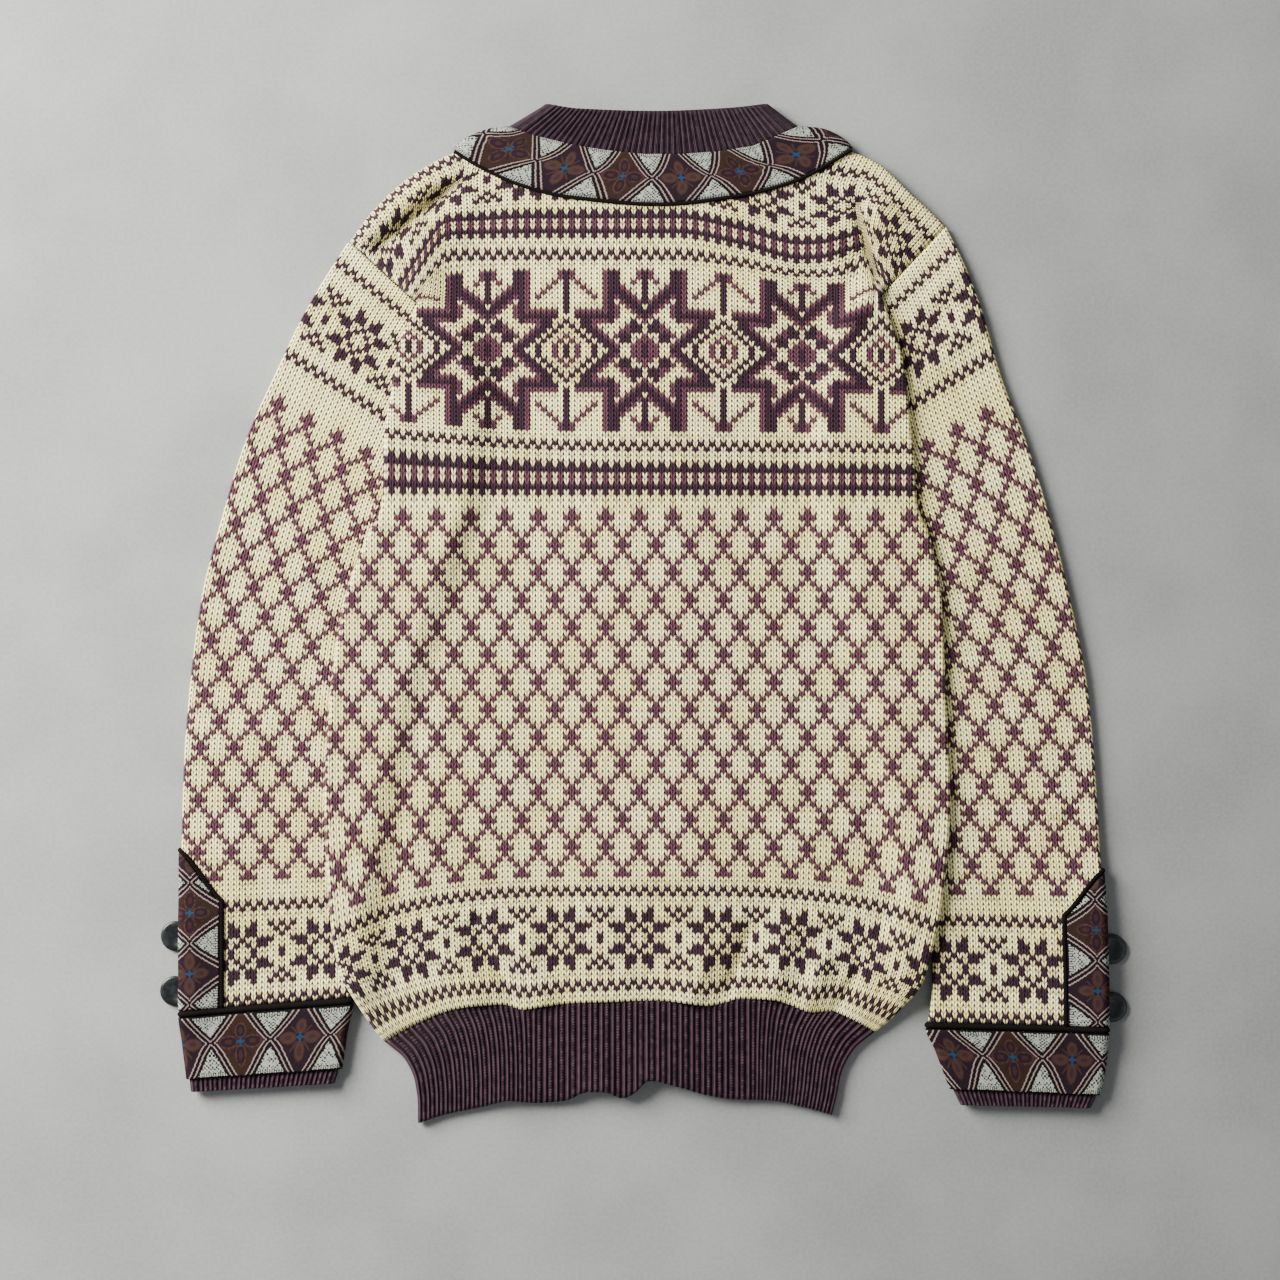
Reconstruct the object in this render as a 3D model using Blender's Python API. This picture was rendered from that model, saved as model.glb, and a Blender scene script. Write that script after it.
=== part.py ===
"""A patterned knitted cardigan, laid face down and seen from its back.

Sizes are in millimetres and are turned into metres when a mesh is made. X runs across the back, Y up
it towards the collar and Z up from the surface that it lies on. The two fronts lie on that surface,
the back lies on them, and each sleeve is a flattened tube whose inner edge goes under the side of the
body. A row of a table is a section across its panel, and a smooth curve joins each column's values.
"""
import math
from collections import namedtuple

import bmesh
import bpy

# ---------------------------------------------------------------- driving sizes, in millimetres
METRE = 1000.0
CLOTH = 3.0                # wall of the stranded knit
SEAM = 0.3                 # gap between two pieces that are sewn together
LAYER = CLOTH + 0.4        # from one body layer's underside to the next one's
FOLD = 3.0                 # radius of a folded edge
TUBE = 6.4                 # height of a flattened sleeve
SLEEVE_WALL = 2.7          # wall of a sleeve, which leaves a thin slot between its layers
LIFT = 6.9                 # how far the sides of the body rise to clear the sleeves under them
RIBBON = 1.5               # thickness of the woven trims
BRAID = 2.0                # thickness of the narrow braids
RIB_HEIGHT = 0.9           # how far a knitted rib stands out
RIB_WALL = 2.0             # wall of the ribbing between its ribs

CLOSING_RISE = 2.7         # the fronts rise this far over the buttons
CLOSING_FLAT = 27.0        # half width of that rise
CLOSING_HALF = 50.0        # where half of it is left
CLOSING_FOOT = 75.0        # where it has run out, each side of the middle
NECK_RISE = 2.0            # the fronts rise this far over the neck trim

FRONT_BUTTONS = 5
FRONT_BUTTON_LOW = -300.0
FRONT_BUTTON_HIGH = 200.0
FRONT_BUTTON_THICK = 2.4
FRONT_BUTTON_X = 12.5
BUTTON_RADIUS = 10.4
CUFF_BUTTON_THICK = 3.0

HEM_RIBS = 87
COLLAR_RIBS = 46
CUFF_RIBS = 27

NECK_LEFT = -95.0          # where the shoulders end and the neckline starts
NECK_RIGHT = 108.0
COLLAR_FRONT = 30.0        # height of the collar in front
TRIM_WIDTH = 33.0

# ---------------------------------------------------------------- tables of sections
# One row of the body: the height of its middle, its two ends, how late it bends towards them, how far
# the side lies over a sleeve, how wide the slope beside that is, and the share of the lift it has.
BodyRow = namedtuple("BodyRow", "mid_y left_x left_y right_x right_y bend shelf slope lift")
BODY = [
    BodyRow(-269, -179, -296, 160, -289, 5.0, 4, 12, 0.00),
    BodyRow(-260, -187, -286, 171, -280, 5.0, 5, 14, 0.15),
    BodyRow(-250, -196, -272, 181, -269, 4.8, 6, 18, 0.65),
    BodyRow(-240, -203, -260, 187, -262, 4.5, 8, 20, 1.15),
    BodyRow(-225, -209, -249, 192, -254, 4.5, 13, 22, 1.15),
    BodyRow(-193, -214, -224, 202, -218, 3.7, 15, 24, 1.15),
    BodyRow(-181, -216, -207, 205, -203, 3.7, 18, 25, 1.10),
    BodyRow(-129, -220, -137, 211, -134, 3.0, 32, 26, 1.00),
    BodyRow(-60, -216, -60, 208, -62, 3.0, 44, 26, 1.00),
    BodyRow(9, -206, 9, 205, 9, 3.0, 52, 26, 1.00),
    BodyRow(51, -192, 51, 198, 50, 3.0, 53, 26, 1.00),
    BodyRow(78, -180, 78, 188, 77, 3.0, 51, 26, 1.00),
    BodyRow(109, -179, 118, 186, 107, 2.0, 54, 26, 1.00),
    BodyRow(147, -174, 151, 182, 145, 3.0, 51, 26, 1.00),
    BodyRow(182, -168, 185, 178, 177, 3.0, 39, 26, 1.00),
    BodyRow(204, -161, 204, 169, 204, 5.0, 21, 24, 1.00),
    BodyRow(216, -156, 214, 163, 219, 6.0, 7, 20, 1.00),
    BodyRow(245, -159.5, 217.2, 165.5, 221.7, 8.0, 5, 18, 0.75),
    BodyRow(261, -164, 221.3, 168.5, 224.9, 8.0, 4, 16, 0.45),
    BodyRow(277, -170, 226.8, 172, 228.6, 8.0, 4, 14, 0.20),
    BodyRow(289, -177, 233.2, 177, 233.9, 7.0, 4, 14, 0.06),
    BodyRow(309, -190, 245.1, 189, 246.7, 5.0, 4, 14, 0.00),
    BodyRow(336, -203, 257, 208, 267, 3.9, 4, 14, 0.00),
]
UNDERARM = 216             # rows above this one end on the straight armhole seam

# The shoulder's edge and the seam above the hem rib, which the rows next to them follow.
EdgePoint = namedtuple("EdgePoint", "x y")
SHOULDER = [
    EdgePoint(-203, 257), EdgePoint(-197, 270), EdgePoint(-181, 285), EdgePoint(-164, 298.5),
    EdgePoint(-143, 311.6), EdgePoint(-131, 317.6), EdgePoint(-121, 322.6), EdgePoint(-105, 329.8),
    EdgePoint(-95, 333), EdgePoint(-80, 335), EdgePoint(0, 336), EdgePoint(90, 334.5), EdgePoint(108, 332),
    EdgePoint(120, 328), EdgePoint(135, 321.8), EdgePoint(144, 317.8), EdgePoint(155, 313),
    EdgePoint(163, 308.5), EdgePoint(173, 299.5), EdgePoint(186, 286), EdgePoint(203, 272),
    EdgePoint(208, 267),
]
HEM_SEAM = [
    EdgePoint(-179, -296), EdgePoint(-158, -284), EdgePoint(-134, -274), EdgePoint(-112, -270.5),
    EdgePoint(-98, -270), EdgePoint(-84, -273.5), EdgePoint(-68, -271), EdgePoint(-50, -269),
    EdgePoint(-28, -268), EdgePoint(8, -267), EdgePoint(28, -268.5), EdgePoint(44, -270.5),
    EdgePoint(56, -268.5), EdgePoint(66, -266), EdgePoint(88, -266.5), EdgePoint(102, -270.5),
    EdgePoint(116, -275.5), EdgePoint(129, -274.5), EdgePoint(144, -280), EdgePoint(160, -289),
]
SHOULDER_REACH = 86.0
SEAM_REACH = 30.0

# One section across a sleeve: its outer and its inner end, and how high its underside lies: at its
# inside, beside the placket's edge and at the outer fold, where the trims and the buttons are under it.
SleeveRow = namedtuple("SleeveRow", "outer_x outer_y inner_x inner_y under beside at_fold")
SLEEVE_LEFT = [
    SleeveRow(-203.9, 257.2, -156.3, 213.6, 0.0, 0.0, 0.0),
    SleeveRow(-219, 234, -141, 176, 0.0, 0.0, 0.0),
    SleeveRow(-236, 205, -132, 137, 0.0, 0.0, 0.0),
    SleeveRow(-254, 167, -133, 92, 0.0, 0.0, 0.0),
    SleeveRow(-275, 120, -142, 62, 0.0, 0.0, 0.0),
    SleeveRow(-292, 65, -153, 29, 0.0, 0.0, 0.0),
    SleeveRow(-306, 9, -167, -6, 0.0, 0.0, 0.0),
    SleeveRow(-314, -53, -179, -57, 0.0, 0.0, 0.0),
    SleeveRow(-318, -108, -189, -109, 0.0, 0.0, 0.0),
    SleeveRow(-319, -148, -201, -147, 0.0, 0.8, 1.3),
    SleeveRow(-319, -164, -205, -162, 0.0, 2.0, 2.8),
    SleeveRow(-319, -202, -208, -197, 0.1, 2.7, 4.2),
    SleeveRow(-319, -211, -208, -206, 0.2, 2.7, 5.5),
    SleeveRow(-319, -250, -206, -242, 0.9, 2.7, 5.5),
    SleeveRow(-319, -276, -202, -267, 2.5, 2.7, 5.5),
    SleeveRow(-317, -296, -206, -288, 2.4, 2.4, 2.6),
    SleeveRow(-314, -321, -210, -314, 1.9, 1.9, 1.9),
    SleeveRow(-313, -330, -213, -324, 1.9, 1.9, 1.9),
]
SLEEVE_RIGHT = [
    SleeveRow(208.8, 267.3, 163.3, 218.7, 0.0, 0.0, 0.0),
    SleeveRow(221, 243, 150, 181, 0.0, 0.0, 0.0),
    SleeveRow(233, 212, 138, 142, 0.0, 0.0, 0.0),
    SleeveRow(247, 164, 140, 102, 0.0, 0.0, 0.0),
    SleeveRow(264, 120, 148, 68, 0.0, 0.0, 0.0),
    SleeveRow(281, 65, 155, 33, 0.0, 0.0, 0.0),
    SleeveRow(295, 9, 165, -6, 0.0, 0.0, 0.0),
    SleeveRow(307, -53, 171, -60, 0.0, 0.0, 0.0),
    SleeveRow(312, -108, 180, -111, 0.0, 0.0, 0.0),
    SleeveRow(315, -162, 194, -163, 0.0, 0.8, 1.3),
    SleeveRow(316, -178, 196, -178, 0.0, 2.0, 2.8),
    SleeveRow(318, -211, 198, -209, 0.1, 2.7, 4.2),
    SleeveRow(318, -220, 199, -217, 0.2, 2.7, 5.5),
    SleeveRow(319, -262, 199, -258, 0.9, 2.7, 5.5),
    SleeveRow(319, -287, 196, -284, 2.5, 2.7, 5.5),
    SleeveRow(318, -307, 203, -302, 2.4, 2.4, 2.6),
    SleeveRow(313, -332, 213, -328, 1.9, 1.9, 1.9),
    SleeveRow(309, -341, 218, -339, 1.9, 1.9, 1.9),
]
# Where the pieces of a cuff start and end, as the numbers of the sleeve's sections.
PLACKET_TIP, PLACKET_SHOULDER, BRAID_LINE, CUFF_RIB_LINE = 10, 11, 14, 16
PLACKET_HALF = 28.0        # from the outer fold to the placket's edge
PLACKET_GAP = 0.5          # clearance over the cloth
PLACKET_BRAID_WIDTH = 3.4

# A ridge, or a trough where its height is negative, along a line on the back.
Crease = namedtuple("Crease", "name x1 y1 x2 y2 half_width height")
CREASES = [
    Crease("left shoulder ridge", -152, 294, -192, 260, 12, 2.6),
    Crease("left yoke ridge", -128, 268, -152, 236, 12, 2.4),
    Crease("right shoulder ridge", 166, 276, 190, 256, 12, 2.8),
    Crease("right yoke ridge", 128, 262, 140, 205, 12, 2.6),
    Crease("left hem ridge, outer", -140, -222, -118, -262, 12, 2.6),
    Crease("left hem ridge, inner", -82, -225, -72, -262, 12, 2.4),
    Crease("middle hem ridge", 44, -230, 34, -262, 13, 2.2),
    Crease("right hem ridge, inner", 98, -218, 92, -262, 11, 2.8),
    Crease("right hem ridge, outer", 124, -238, 117, -264, 8, 2.2),
    Crease("left side ridge", -150, -150, -132, 70, 12, 1.6),
    Crease("right side ridge", 142, -150, 124, 120, 12, 1.4),
]

# The lower edge of the hem rib, and how far its waves stand off the surface.
HemEdge = namedtuple("HemEdge", "x y rise")
HEM_EDGE = [
    HemEdge(-156, -352, 0.6), HemEdge(-140, -346.5, 0.0), HemEdge(-110, -340, 0.6), HemEdge(-93, -336, 3.2),
    HemEdge(-76, -337.5, 1.0), HemEdge(-54, -336, 0.4), HemEdge(-39, -329.5, 3.0), HemEdge(-27, -329.5, 3.4),
    HemEdge(-15, -334, 0.6), HemEdge(-7, -331, 1.6), HemEdge(4, -321.5, 3.8), HemEdge(22, -325.5, 3.0),
    HemEdge(44, -332, 1.2), HemEdge(62, -335, 0.4), HemEdge(88, -336, 0.4), HemEdge(112, -341, 0.2),
    HemEdge(130, -346, 0.6),
]
# The sides of the hem rib, from the seam down.
HemSide = namedtuple("HemSide", "part left_x right_x")
HEM_SIDES = [HemSide(0.0, -179, 160), HemSide(0.22, -165, 145), HemSide(0.5, -158, 136.5),
             HemSide(0.8, -156, 133), HemSide(1.0, -156, 130)]
HEM_ROWS = [0.0, 0.45, 1.0]

# The neck, from its left end to its right: the trim's lower edge, the collar seam at the back and in
# front (straight between these points, as the body's edge is), and the collar's upper edge.
TRIM_LOWER = [EdgePoint(-132, 320.5), EdgePoint(-113, 309), EdgePoint(-84, 296), EdgePoint(-51, 288),
              EdgePoint(11, 283), EdgePoint(66, 289), EdgePoint(104, 299), EdgePoint(144.5, 321)]
NECKLINE = [EdgePoint(NECK_LEFT, 336.5), EdgePoint(-CLOSING_FOOT, 329.5),
            EdgePoint(-CLOSING_HALF, 323.3), EdgePoint(-CLOSING_FLAT, 319.5), EdgePoint(0, 316.7),
            EdgePoint(CLOSING_FLAT, 316.8), EdgePoint(CLOSING_HALF, 318.4), EdgePoint(CLOSING_FOOT, 322.2),
            EdgePoint(NECK_RIGHT, 336.5)]
FRONT_NECKLINE = [EdgePoint(NECK_LEFT, 336.5), EdgePoint(-CLOSING_FOOT, 281), EdgePoint(-CLOSING_HALF, 263),
                  EdgePoint(-CLOSING_FLAT, 256.5), EdgePoint(0, 254), EdgePoint(CLOSING_FLAT, 256.5),
                  EdgePoint(CLOSING_HALF, 263), EdgePoint(CLOSING_FOOT, 279), EdgePoint(NECK_RIGHT, 336.5)]
COLLAR_EDGE = [EdgePoint(-68, 351.5), EdgePoint(-45, 348), EdgePoint(8, 346.3), EdgePoint(60, 348.5),
               EdgePoint(86, 351.5)]

# Where a neck piece turns over the shoulder, from its lower edge to its upper one.
FoldPoint = namedtuple("FoldPoint", "part left_x left_y right_x right_y")
TRIM_FOLD = [FoldPoint(0.0, -132, 320.5, 144.5, 321), FoldPoint(0.3, -122, 328.7, 139.5, 326.8),
             FoldPoint(0.7, -105, 334.8, 122.5, 334.8), FoldPoint(1.0, -97.5, 335.4, 111.5, 335.6)]
COLLAR_FOLD = [FoldPoint(0.0, -93.2, 337.6, 106.5, 337.9), FoldPoint(1.0, -68.0, 351.5, 86.0, 351.5)]


# ---------------------------------------------------------------- curves through a table
def tangent(before, here, after):
    """Slope of a smooth curve at a table row that never swings past the rows' own values."""
    low = (here[1] - before[1]) / (here[0] - before[0])
    high = (after[1] - here[1]) / (after[0] - here[0])
    if low * high <= 0.0:
        return 0.0
    return 2.0 * low * high / (low + high)


def smooth(table, key, column, at):
    """Value of one column of a table, at a place along its key column."""
    points = [(getattr(row, key), getattr(row, column)) for row in table]
    return curve(points, at)


def curve(points, at):
    """A smooth curve through points whose first values rise."""
    if at <= points[0][0]:
        return points[0][1]
    if at >= points[-1][0]:
        return points[-1][1]
    last = len(points) - 1
    i = max(n for n in range(last) if points[n][0] <= at)
    span = points[i + 1][0] - points[i][0]
    chord = (points[i + 1][1] - points[i][1]) / span
    start = tangent(points[i - 1], points[i], points[i + 1]) if i > 0 else chord
    end = tangent(points[i], points[i + 1], points[i + 2]) if i + 2 <= last else chord
    t = (at - points[i][0]) / span
    return (
        (1 + 2 * t) * (1 - t) ** 2 * points[i][1]
        + t * (1 - t) ** 2 * span * start
        + t * t * (3 - 2 * t) * points[i + 1][1]
        - t * t * (1 - t) * span * end
    )


def ease(t):
    """0 to 1, with soft ends."""
    t = min(max(t, 0.0), 1.0)
    return t * t * (3.0 - 2.0 * t)


def round_edge(distance, radius):
    """Share of its height that a folded edge has reached, at a distance in from the edge."""
    if distance >= radius:
        return 1.0
    return math.sqrt(max(0.0, 1.0 - (1.0 - max(distance, 0.0) / radius) ** 2))


# ---------------------------------------------------------------- the body's surface
def polyline(points, x):
    """Straight lines between points whose x rises."""
    if x <= points[0].x:
        return points[0].y
    for low, high in zip(points, points[1:]):
        if x <= high.x:
            return low.y + (high.y - low.y) * (x - low.x) / (high.x - low.x)
    return points[-1].y


def through(points, x):
    """A smooth curve through points."""
    return curve([(point.x, point.y) for point in points], x)


def row_end(mid_y, side):
    """The end of a row: at the side, or above the underarm on the straight armhole seam."""
    x = smooth(BODY, "mid_y", side + "_x", mid_y)
    if mid_y <= UNDERARM:
        return x, smooth(BODY, "mid_y", side + "_y", mid_y)
    low = next(row for row in BODY if row.mid_y == UNDERARM)
    x1, y1 = getattr(low, side + "_x"), getattr(low, side + "_y")
    x2, y2 = getattr(BODY[-1], side + "_x"), getattr(BODY[-1], side + "_y")
    return x, y1 + (x - x1) * (y2 - y1) / (x2 - x1)


def plain_row(mid_y, x):
    """Height of a row that bends evenly towards its two ends."""
    end_x, end_y = row_end(mid_y, "left" if x < 0 else "right")
    return mid_y + (end_y - mid_y) * min(abs(x / end_x), 1.0) ** smooth(BODY, "mid_y", "bend", mid_y)


def row_height(mid_y, x):
    """Height of one row of the body at x, with the shoulder's and the seam's own shapes near them."""
    end_x = row_end(mid_y, "left" if x < 0 else "right")[0]
    inside = 1.0 - min(abs(x / end_x), 1.0) ** 8
    near_shoulder = ease(1.0 - (BODY[-1].mid_y - mid_y) / SHOULDER_REACH)
    near_seam = math.exp(-((mid_y - BODY[0].mid_y) / SEAM_REACH) ** 2)
    y = plain_row(mid_y, x)
    y += inside * near_shoulder * (through(SHOULDER, x) - plain_row(BODY[-1].mid_y, x))
    return y + inside * near_seam * (through(HEM_SEAM, x) - plain_row(BODY[0].mid_y, x))


def under_neckline(x, y, top, start):
    """Closes the rows up below a neckline, from the height where they are hidden."""
    shoulder = row_height(BODY[-1].mid_y, x)
    if top >= shoulder or y <= start:
        return y
    return start + (y - start) * (top - start) / (shoulder - start)


def lift(mid_y, x):
    """How far a row rises at x to lie over the sleeve."""
    inward = abs(row_end(mid_y, "left" if x < 0 else "right")[0]) - abs(x)
    shelf = smooth(BODY, "mid_y", "shelf", mid_y)
    slope = smooth(BODY, "mid_y", "slope", mid_y)
    return LIFT * smooth(BODY, "mid_y", "lift", mid_y) * (1.0 - ease((inward - shelf) / slope))


CLOSING = [EdgePoint(0.0, CLOSING_RISE), EdgePoint(CLOSING_FLAT, CLOSING_RISE),
           EdgePoint(CLOSING_HALF, CLOSING_RISE * 0.45), EdgePoint(CLOSING_FOOT, 0.0)]


def closing_rise(x, y):
    """The rise over the front buttons, which runs out above the highest."""
    return polyline(CLOSING, abs(x)) * (1.0 - ease((y - 222.0) / 95.0))


def neck_rise(x, y):
    """The rise over the part of the neck trim that lies under the fronts."""
    below_trim = polyline(FRONT_NECKLINE, x) - TRIM_WIDTH - y
    beyond = max(abs(x) - 150.0, 0.0)
    return NECK_RISE * (1.0 - ease((max(below_trim, 0.0) + beyond - 38.0) / 60.0))


def crease_height(x, y):
    """Height of the ridges at a place on the back, none of them under the neck trim."""
    total = 0.0
    for line in CREASES:
        dx, dy = line.x2 - line.x1, line.y2 - line.y1
        t = ((x - line.x1) * dx + (y - line.y1) * dy) / (dx * dx + dy * dy)
        t = min(max(t, 0.0), 1.0)
        away = math.hypot(x - line.x1 - t * dx, y - line.y1 - t * dy)
        total += line.height * math.exp(-(away / line.half_width) ** 2)
    return total * ease((through(TRIM_LOWER, x) - 9.0 - y) / 16.0)


def half_columns(mid_y, side):
    """Places from the rounded side inwards: the shelf over the sleeve, its slope and the middle."""
    end = abs(row_end(mid_y, side)[0])
    neck = NECK_RIGHT if side == "right" else -NECK_LEFT
    shelf = smooth(BODY, "mid_y", "shelf", mid_y)
    slope = smooth(BODY, "mid_y", "slope", mid_y)
    foot = end - shelf - slope
    inner = CLOSING_FOOT + (foot - CLOSING_FOOT) * 0.26
    inner += (neck - inner) * ease((mid_y - 232.0) / 60.0)
    places = [end, end - 0.5, end - 2.0, end - max(shelf * 0.5, 3.0), end - max(shelf, 3.6)]
    places += [end - shelf - slope * part for part in (0.3, 0.65, 1.0)]
    places += [inner + (foot - inner) * 0.34, inner, CLOSING_FOOT, CLOSING_HALF, CLOSING_FLAT]
    return places


def row_columns(mid_y):
    """Places across a whole row, from its left end to its right."""
    left = [-place for place in half_columns(mid_y, "left")]
    return left + [0.0] + half_columns(mid_y, "right")[::-1]


BODY_LINES = [-269, -258, -249, -240, -226, -208, -188, -160, -125, -85, -40, 15, 65, 110, 145, 175, 198,
              214, 232, 255, 275, 292, 309, 324, 333, 336]


# ---------------------------------------------------------------- closed cloth
def cloth_wall(name, columns, rows, outer, inner, tube=False):
    """A closed wall: outer(i, j) and inner(i, j) give its two faces on a grid of columns and rows."""
    mesh = bpy.data.meshes.new(name)
    bm = bmesh.new()
    faces = []
    for place in (outer, inner):
        start = len(bm.verts)
        for j in range(rows + 1):
            for i in range(columns + 1):
                bm.verts.new([c / METRE for c in place(i, j)])
        bm.verts.ensure_lookup_table()
        faces.append([[bm.verts[start + j * (columns + 1) + i] for i in range(columns + 1)]
                      for j in range(rows + 1)])
    front, back = faces
    for j in range(rows):
        for i in range(columns):
            bm.faces.new((front[j][i], front[j][i + 1], front[j + 1][i + 1]))
            bm.faces.new((front[j][i], front[j + 1][i + 1], front[j + 1][i]))
            bm.faces.new((back[j][i], back[j + 1][i + 1], back[j][i + 1]))
            bm.faces.new((back[j][i], back[j + 1][i], back[j + 1][i + 1]))
    for i in range(columns):
        bm.faces.new((back[0][i], back[0][i + 1], front[0][i + 1], front[0][i]))
        bm.faces.new((front[rows][i], front[rows][i + 1], back[rows][i + 1], back[rows][i]))
    for j in range(0 if tube else rows):
        bm.faces.new((front[j][0], front[j + 1][0], back[j + 1][0], back[j][0]))
        bm.faces.new((back[j][columns], back[j + 1][columns], front[j + 1][columns], front[j][columns]))
    if tube:
        bmesh.ops.remove_doubles(bm, verts=bm.verts, dist=0.000001)
    bmesh.ops.triangulate(bm, faces=[f for f in bm.faces if len(f.verts) > 3])
    bmesh.ops.recalc_face_normals(bm, faces=bm.faces)
    bm.to_mesh(mesh)
    bm.free()
    piece = bpy.data.objects.new(name, mesh)
    bpy.context.scene.collection.objects.link(piece)
    mesh.shade_smooth()
    mesh.set_sharp_from_angle(angle=math.radians(50))
    return piece


def finish(piece, finish_name, colour, roughness):
    """One Principled material for each piece."""
    material = bpy.data.materials.new(piece.name + "_" + finish_name)
    material.use_nodes = True
    shader = material.node_tree.nodes["Principled BSDF"]
    shader.inputs["Base Color"].default_value = (*colour, 1.0)
    shader.inputs["Roughness"].default_value = roughness
    shader.inputs["Metallic"].default_value = 0.0
    material.diffuse_color = (*colour, 1.0)
    piece.data.materials.append(material)
    return piece


CREAM = (0.72, 0.66, 0.44)
PLUM = (0.085, 0.035, 0.065)
WOVEN = (0.16, 0.10, 0.09)
BLACK = (0.012, 0.010, 0.012)


# ---------------------------------------------------------------- back and fronts
def placed_height(mid_y, x, neck):
    """Height in the plan of a row of a panel that ends at its own neckline."""
    y = row_height(mid_y, x)
    if not NECK_LEFT < x < NECK_RIGHT:
        return y
    top = polyline(neck, x)
    start = through(TRIM_LOWER, x) if neck is NECKLINE else top - 70.0
    return under_neckline(x, y, top, start)


def side_distance(mid_y, x):
    """How far a place is from the folded sides and shoulders."""
    from_side = abs(row_end(mid_y, "left" if x < 0 else "right")[0]) - abs(x)
    from_shoulder = row_height(BODY[-1].mid_y, x) - row_height(mid_y, x)
    if NECK_LEFT < x < NECK_RIGHT:
        return from_side
    return min(from_side, from_shoulder * 0.75)


def panel_under(mid_y, x, y):
    """Height of the fronts' underside."""
    return max(closing_rise(x, y), neck_rise(x, y)) + lift(mid_y, x)


def back_place(mid_y, x):
    """Plan height, underside and top of the back."""
    y = placed_height(mid_y, x, NECKLINE)
    inward = side_distance(mid_y, x)
    under = panel_under(mid_y, x, y) + LAYER + crease_height(x, y) * ease(inward / 8.0)
    return x, y, under, under + CLOTH * (0.16 + 0.84 * round_edge(inward, FOLD))


def front_place(mid_y, x, column_x):
    """Plan height, underside and top of a front; its closing edge stops short of the middle."""
    y = placed_height(mid_y, column_x, FRONT_NECKLINE)
    under = panel_under(mid_y, column_x, y)
    rounded = 0.16 + 0.84 * round_edge(side_distance(mid_y, column_x), FOLD)
    return x, y, under + CLOTH * (1.0 - rounded), under + CLOTH


def panel(name, grid, finish_name, colour):
    """A closed panel from rows of places, each with its underside and its top."""
    return finish(cloth_wall(name, len(grid[0]) - 1, len(grid) - 1,
                             lambda i, j: (grid[j][i][0], grid[j][i][1], grid[j][i][3]),
                             lambda i, j: grid[j][i][:3]), finish_name, colour, 0.9)


def front_columns(mid_y, side):
    """Pairs of a column's place and its place in the whole row."""
    whole = row_columns(mid_y)
    middle = len(whole) // 2
    kept = whole[:middle + 1] if side == "left" else whole[middle:]
    edge = -SEAM / 2 if side == "left" else SEAM / 2
    return [(x if abs(x) > 0.01 else edge, x) for x in kept]


def build_back():
    grid = [[back_place(mid_y, x) for x in row_columns(mid_y)] for mid_y in BODY_LINES]
    return panel("back", grid, "knit", CREAM)


def build_front(side):
    grid = [[front_place(mid_y, x, column) for x, column in front_columns(mid_y, side)]
            for mid_y in BODY_LINES]
    return panel("front_" + side, grid, "knit", CREAM)


# ---------------------------------------------------------------- hem ribs
SEAM_LINE = [EdgePoint(x, row_height(BODY_LINES[0], x)) for x in row_columns(BODY_LINES[0])]


def hem_place(part, seam_x):
    """A place on the hem rib below a place on its seam, and how far the rib's wave lifts it."""
    side = "left" if seam_x < 0 else "right"
    outer = abs(getattr(HEM_SIDES[0], side + "_x")) - CLOSING_FOOT
    beyond = max(abs(seam_x) - CLOSING_FOOT, 0.0) / outer

    def drawn_in(down):
        end = abs(smooth(HEM_SIDES, "part", side + "_x", down))
        x = min(abs(seam_x), CLOSING_FOOT) + beyond * (end - CLOSING_FOOT)
        return math.copysign(x, seam_x)

    seam_y = polyline(SEAM_LINE, seam_x) - SEAM
    edge_y = smooth(HEM_EDGE, "x", "y", drawn_in(1.0))
    wave = smooth(HEM_EDGE, "x", "rise", drawn_in(1.0)) * part * part
    return drawn_in(part), seam_y + (edge_y - seam_y) * part, wave


def hem_under(seam_x):
    return closing_rise(seam_x, 0.0)


def build_hem_back():
    columns = 2 * HEM_RIBS
    left, right = HEM_SIDES[0].left_x, HEM_SIDES[0].right_x

    def place(part, i):
        seam_x = left + (right - left) * i / columns
        x, y, wave = hem_place(part, seam_x)
        inward = min(x - hem_place(part, left)[0], hem_place(part, right)[0] - x)
        rounded = round_edge(inward, FOLD)
        under = hem_under(seam_x) + LAYER + wave * ease(inward / 8.0)
        rib = RIB_HEIGHT if i % 2 else 0.0
        return x, y, under, under + 0.5 + (RIB_WALL + rib - 0.5) * rounded

    grid = [[place(part, i) for i in range(columns + 1)] for part in HEM_ROWS[::-1]]
    return panel("hem_rib_back", grid, "ribbing", PLUM)


def build_hem_front(side):
    def place(part, x, seam_x):
        placed, y, wave = hem_place(part, seam_x)
        inward = abs(hem_place(part, HEM_SIDES[0].left_x if side == "left" else HEM_SIDES[0].right_x)[0])
        inward -= abs(placed)
        rounded = 0.16 + 0.84 * round_edge(inward, FOLD)
        under = hem_under(seam_x)
        edge = x if abs(x) <= SEAM else placed
        return edge, y, under + CLOTH * (1.0 - rounded), under + CLOTH

    grid = [[place(part, x, column) for x, column in front_columns(BODY_LINES[0], side)]
            for part in HEM_ROWS[::-1]]
    return panel("hem_rib_front_" + side, grid, "ribbing", PLUM)


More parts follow.
